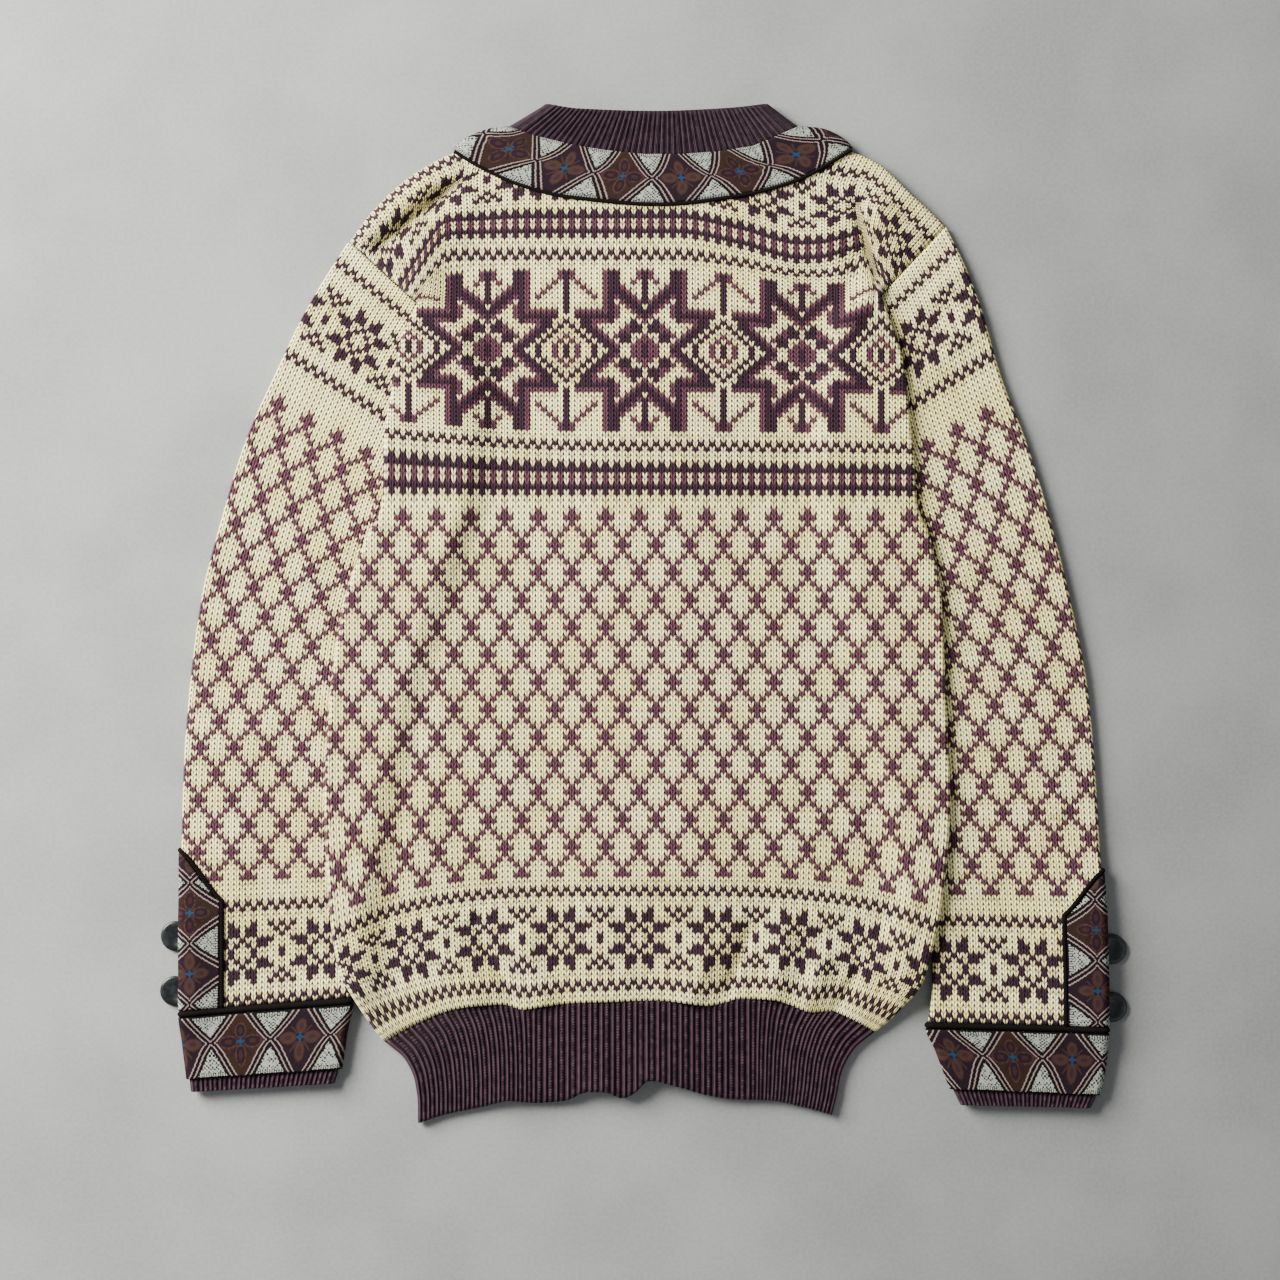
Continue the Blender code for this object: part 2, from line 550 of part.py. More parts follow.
# ---------------------------------------------------------------- buttons
def build_button(name, x, y, low, thick, steps):
    """A turned button: a rim, a dished face and a slightly domed back."""
    profile = [(0.0, 0.14), (0.66, 0.12), (0.80, 0.0), (1.0, 0.30), (1.0, 0.70), (0.86, 1.0), (0.0, 1.0)]
    bm = bmesh.new()
    verts = [bm.verts.new((share * BUTTON_RADIUS / METRE, 0.0, height * thick / METRE))
             for share, height in profile]
    edges = [bm.edges.new(pair) for pair in zip(verts, verts[1:])]
    bmesh.ops.spin(bm, geom=verts + edges, cent=(0, 0, 0), axis=(0, 0, 1), angle=math.tau, steps=steps,
                   use_merge=True)
    bmesh.ops.remove_doubles(bm, verts=bm.verts, dist=0.000001)
    bmesh.ops.translate(bm, vec=(x / METRE, y / METRE, low / METRE), verts=bm.verts)
    bmesh.ops.triangulate(bm, faces=bm.faces)
    bmesh.ops.recalc_face_normals(bm, faces=bm.faces)
    mesh = bpy.data.meshes.new(name)
    bm.to_mesh(mesh)
    bm.free()
    piece = bpy.data.objects.new(name, mesh)
    bpy.context.scene.collection.objects.link(piece)
    mesh.shade_smooth()
    mesh.set_sharp_from_angle(angle=math.radians(35))
    return finish(piece, "button", BLACK, 0.12)


# ---------------------------------------------------------------- collar and neck trim
NECK_UNDER = NECK_RISE + LAYER             # underside of the back under the neck trim
NECK_TOP = NECK_UNDER + CLOTH

# A turn over the shoulder, seen along it: how far a point is from the fold, as a share of the turn's
# depth, and how far up from the lower layer's outside to the upper one's.
TurnPoint = namedtuple("TurnPoint", "away up")
TURN = [TurnPoint(1.0, 0.0), TurnPoint(0.29, 0.15), TurnPoint(0.0, 0.5), TurnPoint(0.29, 0.85),
        TurnPoint(1.0, 1.0)]
FRONT_STEPS = 7


def fold_at(table, part, side):
    """A place on the line where a neck piece turns over the shoulder."""
    return smooth(table, "part", side + "_x", part), smooth(table, "part", side + "_y", part)


def front_strip(table, width, part, share, side):
    """A place on the front half of a neck piece: share runs from the fold to the closing."""
    middle = len(FRONT_NECKLINE) // 2
    path = FRONT_NECKLINE[:middle + 1] if side == "left" else FRONT_NECKLINE[middle:][::-1]
    lengths = [0.0]
    for low, high in zip(path, path[1:]):
        lengths.append(lengths[-1] + math.dist(low, high))
    at = share * lengths[-1]
    i = min(max(n for n, length in enumerate(lengths) if length <= at), len(path) - 2)
    t = (at - lengths[i]) / (lengths[i + 1] - lengths[i])
    seam = (path[i].x + (path[i + 1].x - path[i].x) * t, path[i].y + (path[i + 1].y - path[i].y) * t)
    sewn, free = (1.0, 0.0) if width < 0 else (0.0, 1.0)
    start, end = fold_at(table, sewn, side), fold_at(table, free, side)
    turned = ease(share)
    along = ((end[0] - start[0]) * (1.0 - turned), (end[1] - start[1]) * (1.0 - turned) + width * turned)
    out = abs(part - sewn)
    bowed = fold_at(table, part, side)
    straight = (start[0] + (end[0] - start[0]) * out, start[1] + (end[1] - start[1]) * out)
    near = (1.0 - ease(share / 0.12))
    gap = math.copysign(SEAM + 0.1, width)
    x = seam[0] + along[0] * out + (bowed[0] - straight[0]) * near
    y = seam[1] + gap + along[1] * out + (bowed[1] - straight[1]) * near
    return x, y


def neck_piece(name, table, width, parts, columns, low, high, layers, depth, slant, extra, finish_name, colour):
    """A strip round the neck: in front, over a shoulder, across the back and round to the front.

    layers are the heights of its outside and inside in front and of its inside and outside at the back.
    """
    front_out, front_in, back_in, back_out = layers

    def strip(part):
        line = []
        for n in range(FRONT_STEPS + 1):
            share = 1.0 - (n / FRONT_STEPS) * 0.93
            x, y = front_strip(table, width, part, share, "left")
            line.append((min(x, -SEAM / 2), y, front_out, front_in))
        line += turn(part, "left")
        left, right = fold_at(table, part, "left"), fold_at(table, part, "right")
        inset = depth * slant + 1.5
        for n in range(1, columns):
            x = left[0] + inset + (right[0] - left[0] - 2 * inset) * n / columns
            y = back_y(part, x, left, right)
            line.append((x, y, back_out + extra * (n % 2), back_in))
        line += turn(part, "right")[::-1]
        for n in range(FRONT_STEPS, -1, -1):
            share = 1.0 - (n / FRONT_STEPS) * 0.93
            x, y = front_strip(table, width, part, share, "right")
            line.append((max(x, SEAM / 2), y, front_out, front_in))
        return line

    def back_y(part, x, left, right):
        share = (x - left[0]) / (right[0] - left[0])
        ends = [fold_at(table, row, side) for row in (0.0, 1.0) for side in ("left", "right")]
        low_x = ends[0][0] + (ends[1][0] - ends[0][0]) * share
        high_x = ends[2][0] + (ends[3][0] - ends[2][0]) * share
        y = low(low_x) + (high(high_x) - low(low_x)) * part
        for end, side_ends in ((left, (ends[0], ends[2])), (right, (ends[1], ends[3]))):
            straight = side_ends[0][1] + (side_ends[1][1] - side_ends[0][1]) * part
            y += (end[1] - straight) * math.exp(-abs(x - end[0]) / 12.0)
        return y

    def turn(part, side):
        fold = fold_at(table, part, side)
        inward = 1.0 if side == "left" else -1.0
        ends = fold_at(table, part, "left"), fold_at(table, part, "right")
        points = []
        wall = abs(front_in - front_out)
        for point in TURN:
            out_x = fold[0] + inward * depth * slant * point.away
            in_x = fold[0] + inward * slant * (wall + (depth - wall) * point.away)
            out_z = front_out + (back_out - front_out) * point.up
            in_z = front_in + (back_in - front_in) * point.up
            front_y = fold[1]
            y = front_y + (back_y(part, out_x, *ends) - front_y) * point.up
            points.append((out_x, y, out_z, in_z, in_x))
        return points

    rows = [strip(part) for part in parts]
    count = len(rows[0]) - 1

    def outer(i, j):
        return rows[j][i][:3]

    def inner(i, j):
        point = rows[j][i]
        return (point[4] if len(point) > 4 else point[0]), point[1], point[3]

    return finish(cloth_wall(name, count, len(parts) - 1, outer, inner), finish_name, colour, 0.9)


def build_neck():
    neck_piece("collar_rib", COLLAR_FOLD, COLLAR_FRONT, [0.0, 1.0], 2 * COLLAR_RIBS,
               lambda x: polyline(NECKLINE, x) + SEAM, lambda x: through(COLLAR_EDGE, x),
               (NECK_RISE, NECK_RISE + RIB_WALL, NECK_UNDER, NECK_UNDER + RIB_WALL), 2.9, 1.6, RIB_HEIGHT,
               "ribbing", PLUM)
    neck_piece("neck_trim", TRIM_FOLD, -TRIM_WIDTH, [0.0, 0.3, 0.7, 1.0], 22,
               lambda x: through(TRIM_LOWER, x), lambda x: polyline(NECKLINE, x) - SEAM,
               (0.0, RIBBON, NECK_TOP + 2 * SEAM, NECK_TOP + 2 * SEAM + RIBBON), 5.2, 1.5, 0.0,
               "woven", WOVEN)
    xs = [TRIM_LOWER[0].x + 3.0 + (TRIM_LOWER[-1].x - TRIM_LOWER[0].x - 6.0) * n / 28 for n in range(29)]
    grid = [[(x, through(TRIM_LOWER, x) - SEAM - below, NECK_TOP + 2 * SEAM, NECK_TOP + 2 * SEAM + BRAID)
             for x in xs] for below in (2.0, 0.0)]
    panel("neck_piping", grid, "braid", BLACK)


# ---------------------------------------------------------------- sleeves
class Sleeve:
    """A flattened tube: stations run down it, and a distance runs across it from the outer fold."""

    def __init__(self, table):
        self.table = table
        self.rows = [(n, row) for n, row in enumerate(table)]

    def value(self, column, station):
        return curve([(n, getattr(row, column)) for n, row in self.rows], station)

    def width(self, station):
        return math.hypot(self.value("inner_x", station) - self.value("outer_x", station),
                          self.value("inner_y", station) - self.value("outer_y", station))

    def plan(self, station, distance):
        """The place in the plan at a distance in from the outer fold."""
        share = distance / self.width(station)
        start = self.value("outer_x", station), self.value("outer_y", station)
        end = self.value("inner_x", station), self.value("inner_y", station)
        return start[0] + (end[0] - start[0]) * share, start[1] + (end[1] - start[1]) * share

    def under(self, station, distance):
        fold, beside = self.value("at_fold", station), self.value("beside", station)
        inside = self.value("under", station)
        if distance < PLACKET_HALF:
            return fold + (beside - fold) * ease((distance - 8.0) / (PLACKET_HALF - 8.0))
        return beside + (inside - beside) * ease((distance - PLACKET_HALF - 6.0) / 36.0)

    def ring(self, station, out, upper, distance):
        """A point of the tube's surface, moved out from the cloth by a distance."""
        width = self.width(station)
        radius = TUBE / 2 + out
        share = distance / width
        across = -out + share * (width + 2 * out)
        half = radius * round_edge(min(across + out, width + out - across), radius)
        x, y = self.plan(station, across)
        middle = self.under(station, min(max(across, 0.0), width)) + TUBE / 2
        return x, y, middle + (half if upper else -half)


ROUND_FOLD = [0.0, 0.7, 2.0, 4.0, 15.0]


def ring_places(width):
    """Places round a flattened tube: along its top and back along its underside."""
    top = ROUND_FOLD + [PLACKET_HALF, PLACKET_HALF + 12.0]
    top += [top[-1] + (width - 4.0 - top[-1]) * part for part in (0.5, 1.0)]
    top += [width - 2.0, width - 0.7, width]
    return [(d, True) for d in top] + [(d, False) for d in top[-2:0:-1]] + [(0.0, True)]


def tube_piece(name, sleeve, stations, out, wall):
    """A tube between stations, out from the cloth by out, with its wall inside that."""
    count = len(ring_places(100.0)) - 1

    def place(i, j, distance_out):
        distance, upper = ring_places(sleeve.width(stations[j]))[i]
        return sleeve.ring(stations[j], distance_out, upper, distance)

    return cloth_wall(name, count, len(stations) - 1, lambda i, j: place(i, j, out),
                      lambda i, j: place(i, j, out - wall), tube=True)


def station_after(sleeve, station, millimetres):
    """The station that lies a few millimetres further down the sleeve."""
    here, there = sleeve.plan(station, 0.0), sleeve.plan(station + 0.1, 0.0)
    return station + 0.1 * millimetres / math.dist(here, there)


BRAID_HALF = 2.2           # half the width of the braid round a cuff
TUBE_GAP = 0.4             # clearance of the pieces that lie round a sleeve


def build_sleeve(table, side):
    sleeve = Sleeve(table)
    above = station_after(sleeve, BRAID_LINE, -BRAID_HALF)
    below = station_after(sleeve, BRAID_LINE, BRAID_HALF)
    stations = [0, 0.5, 1, 1.5, 2, 3, 4, 5, 6, 7, 8, 9, 10, 11, 12, 13, above, below, 15, 16]
    finish(tube_piece("sleeve_" + side, sleeve, stations, 0.0, SLEEVE_WALL), "knit", CREAM, 0.9)
    build_cuff_rib(sleeve, side)
    braid = tube_piece("cuff_braid_" + side, sleeve, [above, below], TUBE_GAP + BRAID, BRAID)
    finish(braid, "braid", BLACK, 0.7)
    trim = tube_piece("cuff_trim_" + side, sleeve, [station_after(sleeve, below, SEAM), 15, 16],
                      TUBE_GAP + RIBBON, RIBBON)
    finish(trim, "woven", WOVEN, 0.85)
    build_placket(sleeve, side, station_after(sleeve, above, -SEAM))


def build_cuff_rib(sleeve, side):
    """The rib below a cuff's trim, with its ribs raised on the side that shows."""
    stations = [station_after(sleeve, CUFF_RIB_LINE, SEAM), 17]

    def places(station):
        width = sleeve.width(station)
        top = [0.0, 0.7, 2.0]
        top += [3.5 + (width - 7.0) * n / (2 * CUFF_RIBS) for n in range(2 * CUFF_RIBS + 1)]
        top += [width - 2.0, width - 0.7, width]
        low = [width - 0.7, width - 2.0, width - 4.0, width / 2, 4.0, 2.0, 0.7]
        return [(d, True) for d in top] + [(d, False) for d in low] + [(0.0, True)]

    def outer(i, j):
        distance, upper = places(stations[j])[i]
        x, y, z = sleeve.ring(stations[j], -0.4, upper, distance)
        raised = 3 <= i <= 2 * CUFF_RIBS + 3 and i % 2 == 0
        return x, y, z + (RIB_HEIGHT if raised else 0.0)

    def inner(i, j):
        distance, upper = places(stations[j])[i]
        return sleeve.ring(stations[j], -0.4 - RIB_WALL, upper, distance)

    count = len(places(stations[0])) - 1
    return finish(cloth_wall("cuff_rib_" + side, count, 1, outer, inner, tube=True), "ribbing", PLUM, 0.92)


def build_placket(sleeve, side, bottom):
    """The pointed woven strip round the outer fold above a cuff, and the braid along its edge."""
    across = [-PLACKET_HALF] + [-d for d in ROUND_FOLD[:0:-1]] + ROUND_FOLD + [PLACKET_HALF]

    def top_edge(distance):
        return PLACKET_TIP + 0.03 + 0.88 * abs(distance) / PLACKET_HALF

    def placed(i, j, out):
        distance = across[i]
        station = [bottom, 13, 12, PLACKET_SHOULDER, top_edge(distance)][j]
        return sleeve.ring(station, out, distance >= 0.0, abs(distance))

    trim = cloth_wall("placket_trim_" + side, len(across) - 1, 4,
                      lambda i, j: placed(i, j, PLACKET_GAP + RIBBON), lambda i, j: placed(i, j, PLACKET_GAP))
    finish(trim, "woven", WOVEN, 0.85)

    near, far = PLACKET_HALF + SEAM + 0.2, PLACKET_HALF + SEAM + 0.2 + PLACKET_BRAID_WIDTH
    rise, width = 0.02, 0.13
    sides = [(bottom, near, bottom, far), (13, near, 13, far), (12, near, 12, far), (11, near, 11, far)]
    sides += [(top_edge(PLACKET_HALF) - rise, near, top_edge(PLACKET_HALF) - width, far)]
    sides += [(top_edge(d) - rise, d, top_edge(d) - rise - width, d) for d in ROUND_FOLD[::-1]]
    path = [(*row, 1.0) for row in sides] + [(*row, -1.0) for row in sides[-2::-1]]

    def edge(i, j, out):
        station, distance = path[i][2 * j], path[i][2 * j + 1]
        return sleeve.ring(station, out, path[i][4] > 0, distance)

    braid = cloth_wall("placket_braid_" + side, len(path) - 1, 1,
                       lambda i, j: edge(i, j, PLACKET_GAP + BRAID), lambda i, j: edge(i, j, PLACKET_GAP))
    finish(braid, "braid", BLACK, 0.7)


# ---------------------------------------------------------------- the whole cardigan
CuffButton = namedtuple("CuffButton", "name x y")
CUFF_BUTTONS = [
    CuffButton("cuff_button_left_1", -323.5, -223), CuffButton("cuff_button_left_2", -324.0, -261),
    CuffButton("cuff_button_right_1", 323.5, -232), CuffButton("cuff_button_right_2", 323.8, -272),
]


def build_cardigan():
    build_back()
    build_hem_back()
    build_neck()
    for side, table in (("left", SLEEVE_LEFT), ("right", SLEEVE_RIGHT)):
        build_front(side)
        build_hem_front(side)
        build_sleeve(table, side)
    for button in CUFF_BUTTONS:
        build_button(button.name, button.x, button.y, 0.0, CUFF_BUTTON_THICK, 14)
    for n in range(FRONT_BUTTONS):
        y = FRONT_BUTTON_LOW + (FRONT_BUTTON_HIGH - FRONT_BUTTON_LOW) * n / (FRONT_BUTTONS - 1)
        build_button(f"front_button_{n + 1}", -FRONT_BUTTON_X, y, 0.0, FRONT_BUTTON_THICK, 10)


for old in list(bpy.data.objects):
    bpy.data.objects.remove(old, do_unlink=True)
build_cardigan()
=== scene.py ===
# %% [markdown]
# A stranded knit cardigan lies face down, so its patterned back, its two sleeves and the neck
# are what we see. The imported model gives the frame: every piece here stands on its surfaces, in
# metres, and the small tables below repeat its driving sizes in millimetres, because they are
# easier to read.

import math

import bmesh
import bpy
import numpy as np
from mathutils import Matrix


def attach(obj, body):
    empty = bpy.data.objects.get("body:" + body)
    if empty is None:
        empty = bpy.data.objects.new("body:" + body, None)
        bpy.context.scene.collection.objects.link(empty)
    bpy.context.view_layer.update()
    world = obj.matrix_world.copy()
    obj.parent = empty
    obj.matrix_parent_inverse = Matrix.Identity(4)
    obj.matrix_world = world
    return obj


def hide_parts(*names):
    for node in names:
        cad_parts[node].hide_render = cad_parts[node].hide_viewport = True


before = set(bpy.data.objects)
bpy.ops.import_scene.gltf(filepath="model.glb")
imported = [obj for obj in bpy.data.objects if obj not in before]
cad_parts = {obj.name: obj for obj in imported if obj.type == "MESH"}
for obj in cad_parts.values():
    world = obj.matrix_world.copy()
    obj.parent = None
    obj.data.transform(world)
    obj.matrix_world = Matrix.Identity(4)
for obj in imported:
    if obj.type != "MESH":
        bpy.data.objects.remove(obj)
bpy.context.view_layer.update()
MM = 0.001

# %% [markdown]
# The camera looks straight down from two metres with a long lens, as one would copy a garment
# that is laid out flat. It comes first, so that every later cell can be looked at.

# %% Camera
PICTURE_WIDTH = 883.2      # what the camera takes in at the cloth, in millimetres
CAMERA_HEIGHT, MID_HEIGHT = 2100.0, 6.0    # above the cloth, and the cloth above the floor
CAMERA_X, CAMERA_Y = -2.6, -18.3
SENSOR = 36.0


def into_scene(name, data):
    thing = bpy.data.objects.new(name, data)
    bpy.context.scene.collection.objects.link(thing)
    return thing


camera_data = bpy.data.cameras.new("camera")
camera_data.sensor_width = SENSOR
camera_data.lens = SENSOR * CAMERA_HEIGHT / PICTURE_WIDTH
camera_data.dof.use_dof = False
camera = into_scene("camera", camera_data)
camera.location = (CAMERA_X * MM, CAMERA_Y * MM, (CAMERA_HEIGHT + MID_HEIGHT) * MM)
bpy.context.scene.camera = camera
print("lens", round(camera_data.lens, 1))

# %% [markdown]
# A real studio would use one large soft box at the upper left and a pale floor that fills the
# shadows. The large lamp gives the folds their soft dark side, and a weak one opposite keeps
# the plum yarn readable.

# %% Floor and light
FLOOR_HALF = 9.0           # half of its side, in metres
FLOOR_GAP = 0.0002         # how far it lies below the cloth, in metres


def add_lamp(name, place, size, power, colour):
    data = bpy.data.lights.new(name, "AREA")
    data.shape = "SQUARE"
    data.size = size
    data.energy = power
    data.color = colour
    lamp = into_scene(name, data)
    lamp.location = place
    reach = -np.array(place)
    lamp.rotation_euler = (math.atan2(math.hypot(reach[0], reach[1]), -reach[2]), 0.0,
                           math.atan2(reach[1], reach[0]) - math.pi / 2)


add_lamp("key", (-1.70, 1.05, 1.22), 1.4, 345.0, (1.0, 0.985, 0.955))
add_lamp("fill", (1.8, -1.3, 2.2), 2.4, 18.0, (0.95, 0.97, 1.0))
world = bpy.data.worlds.new("studio")
world.use_nodes = True
background = world.node_tree.nodes["Background"].inputs
background["Color"].default_value = (0.93, 0.96, 1.0, 1.0)
background["Strength"].default_value = 0.42
bpy.context.scene.world = world

floor_mesh = bpy.data.meshes.new("floor")
plane = bmesh.new()
bmesh.ops.create_grid(plane, x_segments=1, y_segments=1, size=FLOOR_HALF)
bmesh.ops.translate(plane, vec=(0.0, 0.0, -FLOOR_GAP), verts=plane.verts)
plane.to_mesh(floor_mesh)
plane.free()
floor = into_scene("floor", floor_mesh)
print("floor and two lamps")

# %% [markdown]
# Shader maths reads best as plain Python. This class holds one socket and turns +, -, * and /
# into Math nodes, and the Paint class makes one material with one method for every other kind
# of node.

# %% A small language for materials


class Wire:
    """One socket of a material."""

    def __init__(self, paint, socket):
        self.paint, self.socket = paint, socket

    def maths(self, operation, *others):
        return self.paint.maths(operation, self, *others)

    def __add__(self, other): return self.maths("ADD", other)
    def __radd__(self, other): return self.paint.maths("ADD", other, self)
    def __sub__(self, other): return self.maths("SUBTRACT", other)
    def __rsub__(self, other): return self.paint.maths("SUBTRACT", other, self)
    def __mul__(self, other): return self.maths("MULTIPLY", other)
    def __rmul__(self, other): return self.paint.maths("MULTIPLY", other, self)
    def __truediv__(self, other): return self.maths("DIVIDE", other)
    def __abs__(self): return self.maths("ABSOLUTE")
    def __lt__(self, other): return self.maths("LESS_THAN", other)
    def __gt__(self, other): return self.maths("GREATER_THAN", other)
    def least(self, other): return self.maths("MINIMUM", other)
    def most(self, other): return self.maths("MAXIMUM", other)
    def power(self, other): return self.maths("POWER", other)
    def sine(self): return self.maths("SINE")
    def part(self): return self.maths("FRACT")
    def floor(self): return self.maths("FLOOR")

    def soft(self, start, end):
        """0 at start and 1 at end, with a smooth passage; start may be the larger."""
        return self.paint.node("ShaderNodeMapRange", {"interpolation_type": "SMOOTHSTEP"},
                               **{"Value": self, "From Min": start, "From Max": end})


class Paint:
    """One material, with its Principled shader."""

    def __init__(self, name, **constants):
        self.material = bpy.data.materials.new(name)
        self.material.use_nodes = True
        self.nodes = self.material.node_tree.nodes
        self.links = self.material.node_tree.links
        self.shader = self.nodes["Principled BSDF"]
        for socket, value in constants.items():
            self.shader.inputs[socket.replace("_", " ")].default_value = value

    def fill(self, socket, value):
        if isinstance(value, Wire):
            self.links.new(value.socket, socket)
        elif value is not None:
            socket.default_value = value

    def maths(self, operation, *values):
        node = self.nodes.new("ShaderNodeMath")
        node.operation = operation
        for socket, value in zip(node.inputs, values):
            self.fill(socket, value)
        return Wire(self, node.outputs[0])

    def node(self, kind, settings=None, output=0, **values):
        node = self.nodes.new(kind)
        for name, value in (settings or {}).items():
            setattr(node, name, value)
        for name, value in values.items():
            self.fill(node.inputs[name], value)
        return Wire(self, node.outputs[output])

    def mix(self, factor, first, second, blend="MIX"):
        node = self.nodes.new("ShaderNodeMix")
        node.data_type, node.blend_type = "RGBA", blend
        for number, value in ((0, factor), (6, first), (7, second)):
            self.fill(node.inputs[number], (*value, 1.0) if isinstance(value, tuple) else value)
        return Wire(self, node.outputs[2])

    def uv(self, name):
        """The two coordinates of a UV map."""
        place = self.node("ShaderNodeUVMap", {"uv_map": name})
        split = self.nodes.new("ShaderNodeSeparateXYZ")
        self.links.new(place.socket, split.inputs[0])
        return Wire(self, split.outputs[0]), Wire(self, split.outputs[1])

    def here(self):
        """The place on the object, in metres."""
        return self.node("ShaderNodeTexCoord", output=3)

    def noise(self, scale, detail=2.0, where=None):
        return self.node("ShaderNodeTexNoise", Vector=where or self.here(), Scale=scale,
                         Detail=detail)

    def bump(self, height, distance):
        normal = self.node("ShaderNodeBump", Height=height, Distance=distance)
        self.links.new(normal.socket, self.shader.inputs["Normal"])

    def shaded(self, colour, light):
        """The base colour: a colour that is multiplied by a number."""
        grey = self.node("ShaderNodeCombineXYZ", X=light, Y=light, Z=light)
        self.colour(self.mix(1.0, colour, grey, "MULTIPLY"))

    def colour(self, wire):
        self.links.new(wire.socket, self.shader.inputs["Base Color"])

    def rough(self, wire):
        self.links.new(wire.socket, self.shader.inputs["Roughness"])


FLOOR_DARK, FLOOR_PALE = (0.150, 0.155, 0.150), (0.212, 0.216, 0.209)
floor_paint = Paint("pale_floor", Roughness=0.9)
cloud = floor_paint.noise(9.0, 8.0).soft(0.3, 0.7)
speck = floor_paint.noise(420.0, 3.0).soft(0.25, 0.75)
floor_x = floor_paint.node("ShaderNodeSeparateXYZ", Vector=floor_paint.here())
floor_tone = floor_paint.mix(cloud * 0.6 + speck * 0.4, FLOOR_DARK, FLOOR_PALE)
# Painted light and shade: the floor is painted lighter at the left and darker at the right, as
# the key lamp's light falls off.
floor_paint.shaded(floor_tone, floor_x.soft(0.75, -0.65) * 0.36 + 0.78)
floor_mesh.materials.append(floor_paint.material)
print("materials can be written")

# %% [markdown]
# Every knitted and woven piece is a flat grid that is laid into place: a grid operator makes
# it, and each point moves to where that stitch lies. One smooth curve that never swings past
# its values joins the rows of a table, just as in the model.

# %% Curves through a table


def curve(xs, ys, at):
    """A smooth curve through points whose first values rise."""
    xs, ys = np.asarray(xs, float), np.asarray(ys, float)
    at = np.clip(at, xs[0], xs[-1])
    chord = np.diff(ys) / np.diff(xs)
    both = chord[1:] * chord[:-1]
    total = np.where(both > 0.0, chord[1:] + chord[:-1], 1.0)
    slope = np.concatenate([chord[:1], np.where(both > 0.0, 2.0 * both / total, 0.0), chord[-1:]])
    i = np.clip(np.searchsorted(xs, at, side="right") - 1, 0, len(xs) - 2)
    span = xs[i + 1] - xs[i]
    t = (at - xs[i]) / span
    return ((1 + 2 * t) * (1 - t) ** 2 * ys[i] + t * (1 - t) ** 2 * span * slope[i]
            + t * t * (3 - 2 * t) * ys[i + 1] - t * t * (1 - t) * span * slope[i + 1])


def ease(t):
    t = np.clip(t, 0.0, 1.0)
    return t * t * (3.0 - 2.0 * t)


def round_edge(distance, radius):
    """Share of its height that a folded edge has reached, at a distance in from the edge."""
    return np.sqrt(np.clip(1.0 - (1.0 - np.clip(distance, 0.0, radius) / radius) ** 2, 0.0, 1.0))


def running_length(points):
    """The length of a line up to each of its points."""
    steps = np.linalg.norm(np.diff(points, axis=0), axis=1)
    return np.concatenate([[0.0], np.cumsum(steps)])


print("halfway up a bend:", float(ease(0.5)))

# %% [markdown]
# The body's table gives a section in each row: its height at the middle, its two ends, how late
# it bends to them, how far the side lies over a sleeve, how wide the slope beside that is and
# the share of the lift. The shoulders and the seam over the hem rib have their own lines.

# %% The body's table
CLOTH, LAYER = 3.0, 3.4    # one layer of knitting, and the step from one layer to the next
FOLD, LIFT = 3.0, 6.9      # the radius of a rolled edge, and the rise over a sleeve
SEAM = 0.3                 # what a seam leaves free between two pieces
NECK_RISE, TRIM_WIDTH, COLLAR_FRONT = 2.0, 33.0, 30.0
NECK_LEFT, NECK_RIGHT = -95.0, 108.0
HEM_LEFT, HEM_RIGHT = -179.0, 160.0
HEM_ROW, UNDERARM, SHOULDER_ROW = -269.0, 216.0, 336.0
BODY = np.array([
    (-269, -179, -296, 160, -289, 5.0, 4, 12, 0.00),
    (-260, -187, -286, 171, -280, 5.0, 5, 14, 0.15),
    (-250, -196, -272, 181, -269, 4.8, 6, 18, 0.65),
    (-240, -203, -260, 187, -262, 4.5, 8, 20, 1.15),
    (-225, -209, -249, 192, -254, 4.5, 13, 22, 1.15),
    (-193, -214, -224, 202, -218, 3.7, 15, 24, 1.15),
    (-181, -216, -207, 205, -203, 3.7, 18, 25, 1.10),
    (-129, -220, -137, 211, -134, 3.0, 32, 26, 1.00),
    (-60, -216, -60, 208, -62, 3.0, 44, 26, 1.00), (9, -206, 9, 205, 9, 3.0, 52, 26, 1.00),
    (51, -192, 51, 198, 50, 3.0, 53, 26, 1.00), (78, -180, 78, 188, 77, 3.0, 51, 26, 1.00),
    (109, -179, 118, 186, 107, 2.0, 54, 26, 1.00),
    (147, -174, 151, 182, 145, 3.0, 51, 26, 1.00),
    (182, -168, 185, 178, 177, 3.0, 39, 26, 1.00),
    (204, -161, 204, 169, 204, 5.0, 21, 24, 1.00), (216, -156, 214, 163, 219, 6.0, 7, 20, 1.00),
    (245, -159.5, 217.2, 165.5, 221.7, 8.0, 5, 18, 0.75),
    (261, -164, 221.3, 168.5, 224.9, 8.0, 4, 16, 0.45),
    (277, -170, 226.8, 172, 228.6, 8.0, 4, 14, 0.20),
    (289, -177, 233.2, 177, 233.9, 7.0, 4, 14, 0.06),
    (309, -190, 245.1, 189, 246.7, 5.0, 4, 14, 0.00),
    (336, -203, 257, 208, 267, 3.9, 4, 14, 0.00)], float)
MID_Y, LEFT_X, LEFT_Y, RIGHT_X, RIGHT_Y, BEND, SHELF, SLOPE, LIFTED = range(9)
SHOULDER = np.array([
    (-203, 257), (-197, 270), (-181, 285), (-164, 298.5), (-143, 311.6), (-131, 317.6),
    (-121, 322.6), (-105, 329.8), (-95, 333), (-80, 335), (0, 336), (90, 334.5), (108, 332),
    (120, 328), (135, 321.8), (144, 317.8), (155, 313), (163, 308.5), (173, 299.5), (186, 286),
    (203, 272), (208, 267)], float)
